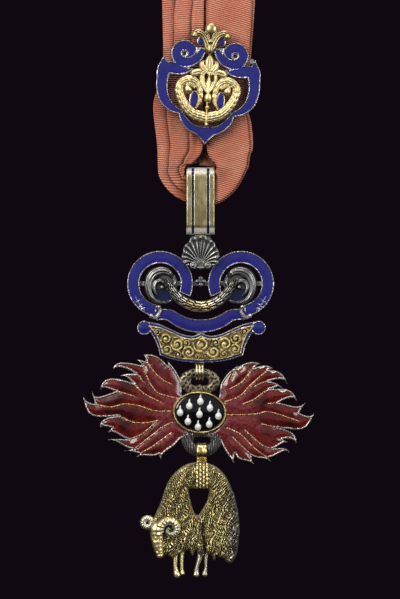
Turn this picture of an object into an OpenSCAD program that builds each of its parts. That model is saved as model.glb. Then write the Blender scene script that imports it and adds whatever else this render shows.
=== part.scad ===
// An order's neck badge on its folded ribbon: keeper, bail, scroll frame, plaque, flames and fleece.
// The origin is the inner face of the ribbon at the nape. +Z is up and the badge faces -Y.

/* [Ribbon] */
// Width of one folded run of the ribbon
ribbon_w = 9.8; // [9:0.1:10.4]
// Thickness of the folded silk
ribbon_t = 1.8; // [1.4:0.1:2.2]
// Half the width of the neck loop
neck_half_w = 60; // [54:1:70]
// Half the depth of the neck loop
neck_half_d = 64; // [56:1:76]
// Rise of the neck loop from where the runs part to the nape
neck_rise = 60; // [46:1:76]
// Height from the bail's top to where the two runs part
hang_h = 46; // [42:1:60]
// Depth of the lobes from the bail's top down to the fold in the bail
fold_h = 7.6; // [6.5:0.1:8.5]

/* [Keeper] */
// Width over the keeper's two outer arms
keeper_w = 22.8; // [21.5:0.1:25]
// Height from the keeper's bottom tip to the top of its crest
keeper_h = 26.8; // [25:0.1:29]
// Thickness of the keeper's plate
keeper_t = 1.1; // [0.9:0.05:1.5]
// Clear space between the ribbon and the keeper's plate
keeper_stand = 2.2; // [1.4:0.1:3.2]
// Lean of the keeper to its right
keeper_lean = 3.3; // [0:0.1:5]
// Height of the keeper's centre above the bail's top
keeper_rise = 17.4; // [16:0.1:20]
// Sideways place of the keeper's centre
keeper_side = 1.65; // [0.6:0.05:2]
// Thickness of the gilt ornaments on the keeper
gilt_t = 1.0; // [0.7:0.05:1.4]

/* [Bail] */
// Width of the bail
bail_w = 6.2; // [5.4:0.1:7]
// Height of the bail
bail_h = 15; // [14:0.1:18]
// Depth of the bail
bail_d = 4.4; // [4.2:0.1:5.4]
// Wall of the bail
bail_wall = 0.8; // [0.7:0.05:0.9]
// Width of each dark enamel line on the bail
line_w = 0.45; // [0.3:0.05:0.7]
// Radius of the hidden hinge pin
pin_r = 0.45; // [0.35:0.05:0.55]
// Width of the bail's lug, which turns on the pin
lug_w = 2.4; // [2:0.1:3]

/* [Enamel] */
// Width of the metal rim round each enamel cell
rim_w = 0.22; // [0.16:0.02:0.3]
// Depth of the enamel in its cell
enamel_t = 0.45; // [0.3:0.05:0.5]
// Gap round each enamel field
fit = 0.03; // [0.02:0.01:0.05]

/* [Scroll frame] */
// Drop of the frame's centre below the bail
crest_drop = 10.74; // [10.2:0.02:11.4]
// Outer radius of each ring
ring_r = 7.25; // [6.8:0.05:7.5]
// Radius of each ring's hole
ring_hole_r = 4.55; // [4.4:0.05:4.8]
// Distance of each ring's centre from the middle
ring_x = 8.9; // [8.6:0.05:9.2]
// Height from the frame's centre down to the banner's lowest edge
banner_drop = 10.7; // [10.2:0.05:11.2]
// Thickness of the frame's plates
frame_t = 1.3; // [1.1:0.05:1.6]
// Height of the shell
shell_h = 7.5; // [7:0.1:8]
// Width of the shell
shell_w = 8.2; // [7:0.1:9]
// Number of flutes on the shell
flutes = 13; // [9:2:15]
// Height of the plaque from its lower edge to its middle top
plaque_h = 6.6; // [6:0.1:7.2]
// Width over the plaque's two end balls
plaque_w = 28.4; // [26:0.1:30]

/* [Flames] */
// Width over the tips of the flames
flames_w = 51; // [46:0.5:55]
// Height over the tips of the flames
flames_h = 23; // [21:0.5:25]
// Lean of the flames to their right
flames_lean = 4.2; // [0:0.1:5]
// Drop of the black stone's centre below the frame's centre
flint_drop = 28.23; // [28:0.02:30]
// Width of the black stone
flint_w = 10.9; // [9.5:0.1:12]
// Height of the black stone
flint_h = 8.3; // [7.2:0.1:8.6]
// Bore of the wire loop and of the fleece's ring
eye_r = 1.42; // [1.36:0.02:1.6]
// Thickness of the half-moons that hang in them
moon_t = 1.2; // [1:0.05:1.3]

/* [Fleece] */
// Height of the ram from its back to its hooves
fleece_h = 25.6; // [23:0.1:28]
// Width of the ram
fleece_w = 21.5; // [19:0.1:24]
// Depth of the ram's body
fleece_d = 3.4; // [2.6:0.1:4]

/* [Hidden] */
EPS = 0.01;
// How far a cutting shape stands past what it cuts
PAST = 1;
SIDES = [-1, 1];
keeper_size = [keeper_w / 2, keeper_h / 2, keeper_w / 2];
// Heights from the nape: where the runs part, the bail's top and the keeper's centre
part_z = -neck_rise;
bail_top = part_z - hang_h;
keeper_z = bail_top + keeper_rise;
front_y = -2 * neck_half_d - ribbon_t / 2;
keeper_back = -ribbon_t / 2 - keeper_stand;
keeper_front = keeper_back - keeper_t;

// A smooth run of rows through the given rows, all columns alike
function mixed(a, b, c, d, t) = 0.5 * (2 * b + (c - a) * t + (2 * a - 5 * b + 4 * c - d) * t * t
    + (3 * b - a - 3 * c + d) * t * t * t);
function smooth(rows, steps = 4) = let(last = len(rows) - 1) [
    for (i = [0:last - 1], s = [0:steps - 1])
        mixed(rows[max(i - 1, 0)], rows[i], rows[i + 1], rows[min(i + 2, last)], s / steps),
    rows[last]];
// Shares turned into millimetres, column by column
function sized(rows, size) = [for (r = rows) [for (c = [0:len(r) - 1]) r[c] * size[c]]];
function flipped(rows) = [for (r = rows) concat([-r[0]], [for (c = [1:len(r) - 1]) r[c]])];
function reversed(rows) = [for (i = [len(rows) - 1:-1:0]) rows[i]];
function plan(p) = [p[0], p[1]];
// The point beside a run's row, off millimetres to its left
function beside(run, i, off) = let(
    a = plan(run[max(i - 1, 0)]), b = plan(run[min(i + 1, len(run) - 1)]), t = (b - a) / norm(b - a))
    [run[i][0] - t[1] * off, run[i][1] + t[0] * off];
// Outline of a band of changing breadth; rows hold [x, z, breadth] and inset narrows it all round
function band(rows, inset = 0, steps = 4) = let(
    all = smooth(rows, steps),
    run = [for (r = all) if (r[2] / 2 > inset) r], n = len(run))
    concat([for (i = [0:n - 1]) beside(run, i, run[i][2] / 2 - inset)],
        [for (i = [n - 1:-1:0]) beside(run, i, inset - run[i][2] / 2)]);

// A flat plate in the badge's plane, from its back face to its front face
module plate(back, front) {
    translate([0, back, 0]) rotate([90, 0, 0]) linear_extrude(height = back - front) children();
}
module strokes(tables, inset = 0) {
    for (rows = tables) polygon(band(rows, inset));
}
module dot(x, z, rx, rz = 0) {
    rz_used = rz == 0 ? rx : rz;
    translate([x, z])
        polygon([for (a = [0:20:340]) [rx * cos(a), rz_used * sin(a)]]);
}

// Keeper arms, wedges, disc tails and base, as shares of its half sizes: [x, z, breadth]
keeper_arm = [[0.50, -0.43, 0.09], [0.67, -0.37, 0.15], [0.82, -0.24, 0.2], [0.885, -0.06, 0.215],
    [0.885, 0.11, 0.225], [0.87, 0.25, 0.25], [0.875, 0.37, 0.12], [0.88, 0.47, 0.01]];
keeper_wedge = [[0.93, 0.25, 0.1], [0.745, 0.284, 0.235], [0.57, 0.254, 0.19], [0.42, 0.254, 0.105],
    [0.31, 0.284, 0.01]];
keeper_tail = [[0.60, 0.37, 0.13], [0.44, 0.36, 0.15], [0.29, 0.418, 0.16], [0.20, 0.5, 0.16],
    [0.15, 0.575, 0.13]];
keeper_base = [[0.49, -0.455, 0.09], [0.425, -0.56, 0.14], [0.31, -0.655, 0.155], [0.16, -0.715, 0.17],
    [0, -0.74, 0.2]];
keeper_tip = [[0, -0.72, 0.24], [0, -0.79, 0.15], [0, -0.865, 0.066], [0, -0.94, 0.005]];
keeper_bar = [[0.08, 0.612, 0.05], [0.26, 0.62, 0.05]];
keeper_disc = [0.49, 0.526, 0.255];
keeper_eye_r = 0.45;
function keeper_half(side) = [for (t = [keeper_arm, keeper_wedge, keeper_tail, keeper_base])
    let(rows = sized(t, keeper_size)) side > 0 ? rows : flipped(rows)];
module keeper_cells(side, inset) {
    strokes(keeper_half(side), inset);
    dot(side * keeper_disc[0] * keeper_size[0], keeper_disc[1] * keeper_size[1],
        keeper_disc[2] * keeper_size[0] - inset);
}
module keeper_place() {
    translate([keeper_side, front_y, keeper_z]) rotate([0, keeper_lean, 0]) children();
}
module keeper_outline(inset) {
    for (side = SIDES) keeper_cells(side, inset);
    strokes([sized(keeper_tip, keeper_size)], inset);
}
module keeper_eyes(r) {
    for (side = SIDES) dot(side * keeper_disc[0] * keeper_size[0], keeper_disc[1] * keeper_size[1], r);
}
loop_h = 3.4;
loop_x = ribbon_w + 0.7;
loop_wall = 0.7;
loop_gap = 0.3;
loop_depth = ribbon_t + keeper_stand + loop_gap;
module keeper_frame() {
    color("silver") keeper_place() {
        difference() {
            union() {
                plate(keeper_back, keeper_front + enamel_t) {
                    keeper_outline(0);
                    strokes([sized(keeper_bar, keeper_size), flipped(sized(keeper_bar, keeper_size))]);
                    dot(0.82 * keeper_size[0], 0.45 * keeper_size[1], 0.04 * keeper_size[0]);
                }
                // The loop behind the ribbon: two cheeks and a back strap
                for (side = SIDES)
                    translate([side * (loop_x + loop_wall / 2) - loop_wall / 2, keeper_back - EPS, -loop_h / 2])
                    cube([loop_wall, loop_depth + EPS, loop_h]);
                translate([-loop_x - loop_wall, ribbon_t / 2 + loop_gap, -loop_h / 2])
                    cube([2 * (loop_x + loop_wall), loop_wall, loop_h]);
            }
            plate(keeper_back + PAST, keeper_front - PAST) keeper_eyes(keeper_eye_r);
        }
    }
}
module keeper_enamel() {
    color("navy") keeper_place() plate(keeper_front + enamel_t - fit, keeper_front) difference() {
        keeper_outline(rim_w + fit);
        keeper_eyes(keeper_eye_r + rim_w + fit);
    }
}

// Gilt ornaments of the keeper, in the same shares
coil = [[-0.2, -0.35, 0.02], [-0.15, -0.24, 0.08], [-0.16, -0.09, 0.115], [-0.265, 0.055, 0.15],
    [-0.395, 0.09, 0.16], [-0.515, 0.015, 0.14], [-0.535, -0.105, 0.12], [-0.44, -0.27, 0.13],
    [-0.265, -0.425, 0.17], [0, -0.49, 0.19]];
gilt_back = keeper_front - fit;
gilt_front = gilt_back - gilt_t;
palmette_rows = [[0, -0.1, 0.06], [0, 0.04, 0.15], [0, 0.18, 0.3], [0, 0.31, 0.29], [0, 0.41, 0.15],
    [0, 0.485, 0.03]];
palmette_arm = [[0.03, 0.21, 0.11], [0.19, 0.22, 0.11], [0.27, 0.2, 0.08], [0.34, 0.18, 0.01]];
stem_rows = [[0, -0.08, 0.04], [0, -0.61, 0.05]];
// Round parts of the ornament: [x, z, half width, half height]
bosses = [[0, -0.19, 0.075, 0.097], [0, -0.34, 0.044, 0.037], [0, -0.62, 0.044, 0.037]];
patch = [0.262, -0.216, 0.075, 0.112];
module keeper_scrolls() {
    half = sized(coil, keeper_size);
    arm = sized(palmette_arm, keeper_size);
    color("gold") keeper_place() {
        plate(gilt_back, gilt_front) difference() {
            union() {
                strokes([half, flipped(half), arm, flipped(arm)]);
                strokes([sized(palmette_rows, keeper_size), sized(stem_rows, keeper_size)]);
                for (b = sized(bosses, concat(keeper_size, keeper_h / 2))) dot(b[0], b[1], b[2], b[3]);
                for (side = SIDES) {
                    dot(side * 0.368 * keeper_size[0], -0.067 * keeper_size[1], 0.08 * keeper_size[0]);
                    dot(side * 0.42 * keeper_size[0], 0.01 * keeper_size[1], 0.06 * keeper_size[0]);
                    dot(side * 0.13 * keeper_size[0], 0.31 * keeper_size[1], 0.066 * keeper_size[0]);
                }
            }
            for (side = SIDES) dot(side * 0.062 * keeper_size[0], 0.17 * keeper_size[1],
                0.025 * keeper_size[0], 0.055 * keeper_size[1]);
        }
        // Thin seats behind the two enamel patches
        plate(gilt_back, gilt_back - gilt_t / 3) drop_patches(0.1);
    }
}
module drop_patches(grow) {
    for (side = SIDES) dot(side * patch[0] * keeper_size[0], patch[1] * keeper_size[1],
        patch[2] * keeper_size[0] + grow, patch[3] * keeper_size[1] + grow);
}
module keeper_drops() {
    color("navy") keeper_place() plate(gilt_back - gilt_t / 3 - fit, gilt_back - 0.6 * gilt_t) difference() {
        drop_patches(0);
        half = sized(coil, keeper_size);
        strokes([half, flipped(half)], -fit);
    }
}
crest_body = [[0, 0.5, 0.04], [0, 0.6, 0.13], [0, 0.7, 0.18], [0, 0.8, 0.24], [0, 0.87, 0.12], [0, 0.93, 0.1]];
crest_oval = [0, 0.94, 0.105, 0.112];
crest_curl = [[0.05, 0.76, 0.09], [0.16, 0.85, 0.085], [0.26, 0.865, 0.085], [0.335, 0.82, 0.08]];
module keeper_crest() {
    color("gold") keeper_place() {
        plate(gilt_back, gilt_front) strokes([sized(crest_body, keeper_size), sized(crest_curl, keeper_size),
            flipped(sized(crest_curl, keeper_size))]);
        plate(gilt_back, gilt_front) dot(0, crest_oval[1] * keeper_size[1],
            crest_oval[2] * keeper_size[0], crest_oval[3] * keeper_size[1]);
    }
}

// The bail is a flattened loop; its lug below turns on the hidden pin behind the shell
lug_r = 1;
pin_z = bail_top - bail_h - lug_r - 0.05;
lug_gap = 0.15;
ear_t = 0.8;
pin_past = 0.2;
module stadium(h, d, w) {
    rotate([90, 0, 90]) translate([0, 0, -w / 2]) linear_extrude(height = w) {
        translate([0, -h + d / 2]) circle(d = d, $fn = 64);
        translate([0, -d / 2]) circle(d = d, $fn = 64);
        translate([-d / 2, -h + d / 2]) square([d, h - d]);
    }
}
module bail() {
    color("gold") translate([0, front_y, 0]) difference() {
        union() {
            difference() {
                translate([0, 0, bail_top]) stadium(bail_h, bail_d, bail_w);
                translate([0, 0, bail_top - bail_wall])
                    stadium(bail_h - 2 * bail_wall, bail_d - 2 * bail_wall, bail_w + 1);
            }
            translate([-lug_w / 2, 0, pin_z]) rotate([0, 90, 0]) cylinder(h = lug_w, r = lug_r, $fn = 48);
            translate([-lug_w / 2, -0.6, pin_z]) cube([lug_w, 1.2, lug_r + bail_wall / 2]);
        }
        translate([-bail_w, 0, pin_z]) rotate([0, 90, 0]) cylinder(h = 2 * bail_w, r = pin_r + fit, $fn = 48);
        bail_lines(0);
    }
}
line_deep = 0.25;
module bail_lines(gap) {
    for (side = SIDES) translate([side * 0.27 * bail_w - line_w / 2 + gap, -bail_d / 2,
        bail_top - bail_h + bail_d / 2 + gap])
        cube([line_w - 2 * gap, line_deep - gap, bail_h - bail_d - 2 * gap]);
}
module bail_enamel() { color("navy") translate([0, front_y, 0]) bail_lines(fit); }
module hinge_pin() {
    half = lug_w / 2 + lug_gap + ear_t + pin_past;
    color("silver") translate([-half, front_y, pin_z]) rotate([0, 90, 0])
        cylinder(h = 2 * half, r = pin_r, $fn = 48);
}

// Frame: all below is placed about its centre
crest_z = bail_top - bail_h - crest_drop;
crest_half = ring_x + ring_r;
crest_size = [crest_half, banner_drop, crest_half];
frame_back = 0.6;
frame_front = frame_back - frame_t;
strut_t = 0.6;
module crest_place() { translate([0, front_y, crest_z]) children(); }

shell_base = 3.25;
shell_back = -1.15;
shell_front = -1.75;
flute_fan = 75;
// The boss behind the flutes, which stands on the frame
boss_h = 2.6;
ear_r = 0.95;
ear_h = 1.6;
function flute_reach(a) = (shell_h - 0.6) * (1 - 0.33 * pow(abs(a) / flute_fan, 1.5));
function flute_rows(a, breadth) = let(d = [sin(a) * shell_w / 9.3, cos(a)], r = flute_reach(a))
    [for (s = [0.06, 0.4, 0.8, 0.95, 1]) [d[0] * r * s, shell_base + 0.6 + d[1] * r * s,
        breadth * (s == 1 ? 0.55 : 0.3 + 0.75 * s)]];
module flute_plan(breadth) {
    for (i = [0:flutes - 1])
        polygon(band(flute_rows(-flute_fan + 2 * flute_fan * i / (flutes - 1), breadth), 0, 2));
    translate([-1.8, shell_base]) square([3.6, 0.8]);
    for (side = SIDES) dot(side * 1.55, shell_base + 0.85, 0.65);
}
module shell() {
    color("silver") crest_place() difference() {
        union() {
            plate(shell_back, shell_front) flute_plan(19 / flutes);
            plate(shell_front + EPS, shell_front - 0.35) flute_plan(8 / flutes);
            plate(frame_front - 0.05, shell_back - EPS) difference() {
                dot(0, shell_base + boss_h, 0.4 * shell_w, boss_h);
                translate([-shell_w, 0]) square([2 * shell_w, shell_base]);
            }
            for (side = SIDES) translate([side * (lug_w / 2 + lug_gap + ear_t / 2) - ear_t / 2, 0, 0]) {
                translate([0, 0, pin_z - crest_z]) rotate([0, 90, 0]) cylinder(h = ear_t, r = ear_r, $fn = 48);
                translate([0, shell_back - EPS, pin_z - crest_z - ear_h])
                    cube([ear_t, frame_back - shell_back, ear_h]);
            }
        }
        translate([-bail_w, 0, pin_z - crest_z]) rotate([0, 90, 0])
            cylinder(h = 2 * bail_w, r = pin_r + fit, $fn = 48);
    }
}

ring_from = -23;
ring_to = 262;
function ring_sector(inset) = let(turn = inset * 9) concat(
    [for (a = [ring_from + turn:(ring_to - ring_from - 2 * turn) / 40:ring_to - turn + EPS])
        [-ring_x + (ring_r - inset) * cos(a), (ring_r - inset) * sin(a)]],
    [for (a = [ring_to - turn:-(ring_to - ring_from - 2 * turn) / 30:ring_from + turn - EPS])
        [-ring_x + (ring_hole_r + inset) * cos(a), (ring_hole_r + inset) * sin(a)]]);
banner_rows = [[0, -0.864, 0.179], [0.154, -0.841, 0.176], [0.296, -0.757, 0.173], [0.42, -0.645, 0.16],
    [0.53, -0.626, 0.148], [0.575, -0.636, 0.142]];
function banner_all() = let(r = sized(banner_rows, crest_size))
    concat(reversed(flipped(r)), [for (i = [1:len(r) - 1]) r[i]]);
clasp_rows = [[0.565, -0.47, 0.05], [0.55, -0.56, 0.045], [0.58, -0.64, 0.045], [0.635, -0.69, 0.04],
    [0.67, -0.66, 0.03]];
clasp_balls = [[0.565, -0.47], [0.675, -0.655]];
clasp_rise = 0.5;
clasp_clear = 0.05;
ball_small = 0.45;
module clasp_room() {
    clasp = sized(clasp_rows, crest_size);
    strokes([clasp, flipped(clasp)], -clasp_clear);
    for (side = SIDES, p = clasp_balls)
        dot(side * p[0] * crest_half, p[1] * banner_drop, ball_small + clasp_clear);
}
module scroll_frame() {
    clasp = sized(clasp_rows, crest_size);
    color("silver") crest_place() {
        plate(frame_back, frame_front + enamel_t) {
            polygon(ring_sector(0));
            mirror([1, 0]) polygon(ring_sector(0));
            polygon(band(banner_all()));
        }
        plate(frame_front + enamel_t + EPS, frame_front - clasp_rise) {
            strokes([clasp, flipped(clasp)]);
            for (side = SIDES, p = clasp_balls)
                dot(side * p[0] * crest_half, p[1] * banner_drop, ball_small);
        }
        // Plain struts at the back carry the middle pieces and the plaque
        translate([-ring_x - ring_hole_r - 1, frame_back - EPS, -0.4])
            cube([2 * (ring_x + ring_hole_r + 1), strut_t, 1]);
        translate([-0.8, frame_back - EPS, -banner_drop - 2.5]) cube([1.6, strut_t, 4]);
    }
}
module ring_field(side) {
    color("navy") crest_place() plate(frame_front + enamel_t - fit, frame_front) difference() {
        mirror([side > 0 ? 1 : 0, 0]) polygon(ring_sector(rim_w + fit));
        clasp_room();
    }
}
// Where the enamel's ends are cut square beside the clasps
banner_end = 0.565 * crest_half + 1;
module banner_enamel() {
    color("navy") crest_place() plate(frame_front + enamel_t - fit, frame_front) difference() {
        polygon(band(banner_all(), rim_w + fit));
        clasp_room();
        for (side = SIDES) translate([side * banner_end - 1, -banner_drop]) square([2, banner_drop]);
    }
}

// Silver crescents in the rings, each with a coil and a dark enamel field
acanthus_x = ring_x - 0.35;
acanthus_z = -0.45;
acanthus_rx = ring_hole_r - 1;
acanthus_rz = ring_hole_r - 0.7;
acanthus_coil = [[0.1, 0.88, 0.1], [-0.45, 0.75, 0.3], [-0.8, 0.2, 0.3], [-0.75, -0.5, 0.25],
    [-0.2, -0.86, 0.15], [0.4, -0.8, 0.12]];
coil_hook = [[0, -0.05, 0.12], [0.12, 0.12, 0.12], [-0.05, 0.34, 0.14], [-0.35, 0.25, 0.16],
    [-0.5, -0.1, 0.14]];
acanthus_seat = frame_front + 0.1;
acanthus_rise = 0.6;
module acanthus_place(side) {
    crest_place() translate([side * acanthus_x, 0, acanthus_z]) mirror([side > 0 ? 1 : 0, 0, 0]) children();
}
function field_plan(gap) = [for (a = [200:10:340]) [(0.68 * acanthus_rx - gap) * cos(a) + 0.1 * acanthus_rx,
    (0.62 * acanthus_rz - gap) * sin(a) - 0.18 * acanthus_rz - gap]];
module acanthus(side) {
    size = [acanthus_rx, acanthus_rz, acanthus_rx];
    color("silver") acanthus_place(side) {
        difference() {
            plate(frame_back - 0.05, acanthus_seat) dot(0, 0, acanthus_rx, acanthus_rz);
            plate(acanthus_seat + enamel_t, acanthus_seat - PAST) polygon(field_plan(0));
        }
        plate(acanthus_seat + EPS, acanthus_seat - acanthus_rise)
            strokes([sized(acanthus_coil, size), sized(coil_hook, size)]);
    }
}
module field(side) {
    color("navy") acanthus_place(side) plate(acanthus_seat + enamel_t, acanthus_seat) polygon(field_plan(fit));
}
swag_rows = [[0, -0.463, 0.165], [0.125, -0.44, 0.165], [0.26, -0.336, 0.16], [0.37, -0.168, 0.14],
    [0.445, -0.02, 0.105], [0.485, 0.08, 0.04]];
module swag() {
    half = sized(swag_rows, crest_size);
    leaf = crest_half * 0.05;
    color("gold") crest_place() {
        plate(frame_front - 0.55, frame_front - 1.1) strokes([half, flipped(half)]);
        for (side = SIDES, i = [0:6]) {
            p = smooth(half, 2)[i];
            translate([side * p[0], frame_front - 1.1, p[1]]) sphere(r = leaf * (1 - 0.06 * i), $fn = 24);
        }
    }
}
module quatrefoil() {
    color("silver") crest_place() plate(frame_back - 0.05, frame_front - 0.1) {
        for (a = [0:90:270]) dot(0.05 + 0.6 * cos(a), 0.55 + 0.6 * sin(a), 0.55);
        dot(0.05, 0.55, 0.5);
    }
}

// The plaque: a blue-edged frame with end balls, and a gold leaf relief on it
plaque_size = [plaque_w / 2, plaque_h, plaque_w / 2];
plaque_top = -banner_drop - 0.08;
plaque_back = 0.5;
plaque_front = -0.7;
// Edges of the frame and of the relief from the middle outward: [x, z] as shares of the half width and height
frame_top = [[0, 0], [0.14, -0.06], [0.3, -0.01], [0.5, 0.17], [0.7, 0.35], [0.86, 0.385]];
frame_side = [[0.83, 0.16], [0.76, -0.05], [0.7, -0.27], [0.67, -0.52], [0.65, -0.755]];
frame_foot = [[0.42, -0.875], [0.21, -0.965], [0, -1]];
relief_top = [[0, -0.04], [0.12, -0.12], [0.24, -0.14], [0.4, -0.07], [0.57, 0.09], [0.72, 0.2], [0.83, 0.24]];
relief_side = [[0.75, 0.02], [0.68, -0.2], [0.64, -0.44], [0.605, -0.69]];
relief_foot = [[0.35, -0.81], [0, -0.88]];
function half_outline(top, side, foot) = [for (t = [top, side, foot]) each smooth(sized(t, plaque_size), 2)];
function whole_outline(half) = concat(half, [for (i = [len(half) - 2:-1:1]) [-half[i][0], half[i][1]]]);
ball_r = 1.55;
ball_x = plaque_w / 2 - ball_r;
module plaque_frame() {
    color("silver") crest_place() translate([0, 0, plaque_top]) difference() {
        union() {
            plate(plaque_back, plaque_front)
                polygon(whole_outline(half_outline(frame_top, frame_side, frame_foot)));
            for (side = SIDES) plate(plaque_back, plaque_front) dot(side * ball_x, 0.17 * plaque_h, ball_r);
        }
        plate(plaque_front + enamel_t, plaque_front - PAST) plaque_cell(0);
    }
}
module plaque_cell(gap) {
    difference() {
        union() {
            translate([0, 0.3]) blue_edge(gap);
            for (side = SIDES) dot(side * ball_x, 0.17 * plaque_h, ball_r - rim_w - gap);
        }
        polygon(whole_outline(half_outline(relief_top, relief_side, relief_foot)));
    }
}
edge_rows = [[0, -0.08, 0.02], [0.14, -0.145, 0.04], [0.3, -0.11, 0.05], [0.5, 0.06, 0.055], [0.7, 0.25, 0.055],
    [0.84, 0.26, 0.1]];
module blue_edge(gap) {
    half = sized(edge_rows, plaque_size);
    strokes([half, flipped(half)], gap);
}
module plaque_enamel() {
    color("navy") crest_place() translate([0, 0, plaque_top])
        plate(plaque_front + enamel_t, plaque_front) plaque_cell(fit);
}
leaf_curl = [[0, 0.55, 0.3], [-0.5, 0.35, 0.3], [-0.6, -0.25, 0.28], [-0.1, -0.6, 0.26], [0.42, -0.3, 0.22],
    [0.3, 0.15, 0.12]];
module plaque_relief() {
    color("gold") crest_place() translate([0, 0, plaque_top]) {
        plate(plaque_front - fit, plaque_front - 0.4)
            polygon(whole_outline(half_outline(relief_top, relief_side, relief_foot)));
        curl_r = 0.27 * plaque_h;
        plate(plaque_front - 0.4 + EPS, plaque_front - 0.9)
            for (side = SIDES, i = [0:2]) translate([side * (0.13 + 0.17 * i) * plaque_w / 2 * 1.15,
                (-0.46 + 0.03 * i * i) * plaque_h])
                strokes([[for (r = leaf_curl) [side * r[0] * curl_r, r[1] * curl_r, r[2] * curl_r]]]);
    }
}

// Three wires soldered together hang the flames from the plaque
wire_r = 0.28;
wire_n = 3;
wire_pitch = 2 * wire_r + 0.08;
flames_z = crest_z - flint_drop;
flames_x = -0.2;
wire_top = plaque_top - plaque_h - 0.02;
wire_z = crest_z + wire_top - eye_r - 2 * wire_r;
module ring_x(outer, inner, width) {
    rotate([0, 90, 0]) rotate_extrude($fn = 64) translate([inner, -width / 2]) square([outer - inner, width]);
}
module wire_loop() {
    color("gold") translate([flames_x, front_y, wire_z]) {
        for (i = [0:wire_n - 1]) translate([(i - 1) * wire_pitch, 0, 0])
            rotate([0, 90, 0]) rotate_extrude($fn = 48)
                translate([eye_r + wire_r, 0]) circle(r = wire_r, $fn = 16);
        ring_x(eye_r + wire_r, eye_r, 2 * wire_pitch + wire_r);
        translate([-0.95, eye_r * 0.42, eye_r * 0.9 + 0.1]) cube([1.9, 0.35, 0.55]);
        translate([-0.95, plaque_back + 0.05, eye_r * 0.9 + 0.2]) cube([1.9, 0.4, 2.6]);
    }
}

// Flames: each tongue runs out from the stone's side along a bend and ends in a sharp, curling tip.
// Columns: [tip out, tip up, root up, lean at the root, curl at the tip, breadth], shares of the flames'
// half sizes and degrees
flames_size = [flames_w / 2, flames_h / 2];
left_tongues = [
    [0.31, 0.9, 0.5, 50, 70, 0.075],
    [0.52, 1.02, 0.42, 38, 22, 0.12],
    [0.575, 0.91, 0.34, 34, 30, 0.07],
    [0.77, 0.63, 0.24, 30, -62, 0.12],
    [0.71, 0.58, 0.2, 26, -5, 0.06],
    [0.87, 0.27, 0.12, 22, -58, 0.125],
    [0.945, 0.24, 0.06, 8, 50, 0.06],
    [1.02, 0.15, -0.06, -4, 75, 0.17],
    [0.85, -0.44, -0.2, -14, -60, 0.15],
    [0.785, -0.5, -0.3, -26, 20, 0.09],
    [0.785, -0.66, -0.36, -34, 14, 0.09],
    [0.63, -0.83, -0.42, -40, 0, 0.09],
    [0.52, -0.93, -0.48, -50, 12, 0.12],
    [0.31, -0.93, -0.52, -56, -60, 0.09]];
right_tongues = [
    [0.3, 0.94, 0.5, 56, 20, 0.09],
    [0.49, 1.01, 0.42, 44, -8, 0.12],
    [0.57, 0.96, 0.34, 38, 2, 0.09],
    [0.735, 0.66, 0.26, 34, -70, 0.12],
    [0.69, 0.59, 0.2, 28, -40, 0.06],
    [0.83, 0.35, 0.12, 20, -62, 0.12],
    [0.905, 0.31, 0.06, 8, 55, 0.075],
    [0.98, 0.17, -0.06, -4, 78, 0.17],
    [0.855, -0.49, -0.18, -12, -75, 0.12],
    [0.76, -0.47, -0.26, -20, 40, 0.07],
    [0.8, -0.67, -0.34, -30, -50, 0.1],
    [0.635, -0.84, -0.42, -42, 6, 0.09],
    [0.5, -0.9, -0.48, -50, 4, 0.09],
    [0.335, -0.93, -0.52, -62, 0, 0.1]];
root_x = 0.36 * flint_w;
function tongue(r, side) = let(
    a = [root_x, r[2] * flames_size[1]],
    d = [r[0] * flames_size[0], r[1] * flames_size[1]],
    reach = norm(d - a),
    b = a + 0.42 * reach * [cos(r[3]), sin(r[3])], c = d - 0.3 * reach * [cos(r[4]), sin(r[4])])
    [for (i = [0:8])
        let(t = i / 8, u = 1 - t, p = a * u * u * u + 3 * b * t * u * u + 3 * c * t * t * u + d * t * t * t)
        [side * p[0], p[1], 2.6 * r[5] * flames_size[1] * (1.001 - pow(t, 2.6))]];
// The flames' body, out to the notches between the tongues: [out, up] as shares of the half sizes
flame_body = [[0.15, 0.5], [0.2, 0.64], [0.3, 0.74], [0.4, 0.78], [0.5, 0.68], [0.56, 0.54], [0.64, 0.42],
    [0.7, 0.24], [0.76, 0.08], [0.75, -0.16], [0.68, -0.28], [0.65, -0.44], [0.56, -0.6], [0.45, -0.73],
    [0.32, -0.74], [0.22, -0.6], [0.15, -0.48]];
function body_plan(side, inset) = [for (r = flame_body) let(d = norm([r[0] - 0.4, r[1]]))
    [side * (r[0] - inset * (r[0] - 0.4) / d / 8) * flames_size[0],
        (r[1] - inset * r[1] / d / 8) * flames_size[1]]];
function flame_bands(rows, side, inset) = [for (r = rows) band(tongue(r, side), inset, 1)];
flames_back = 0.6;
flames_mid = -0.2;
flames_front = -0.95;
module flames_place() {
    translate([flames_x, front_y, flames_z]) rotate([0, flames_lean, 0]) children();
}
moon_up = wire_z - flames_z;
seat_drop = sqrt(pow(eye_r - 0.05, 2) - pow(moon_t / 2, 2));
moon_bar = 1.95;
flint_rim = 0.5;
module flint_plan(grow) { dot_fine(flint_w / 2 + grow, flint_h / 2 + grow); }
module dot_fine(rx, rz) { polygon([for (a = [0:10:350]) [rx * cos(a), rz * sin(a)]]); }
// The fleece's ring hangs below the stone's centre, a little to one side
fleece_eye_drop = 8.69;
fleece_x = 0.45;
moon_half = [4.3, 4.15];
moon_hole = [2.4, 1.5];
moon_gap = 1.75;
// Each moon: how far its bar's inner edge is from the stone's centre, its place across, and 1 for above
moons = [[moon_up - seat_drop, 0, 1], [fleece_eye_drop - seat_drop, fleece_x, -1]];
module moon_disc(m, grow) {
    translate([m[1], m[2] * (m[0] + moon_bar - moon_half[1])])
        dot_fine(moon_half[0] + grow, moon_half[1] + grow);
}
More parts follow.
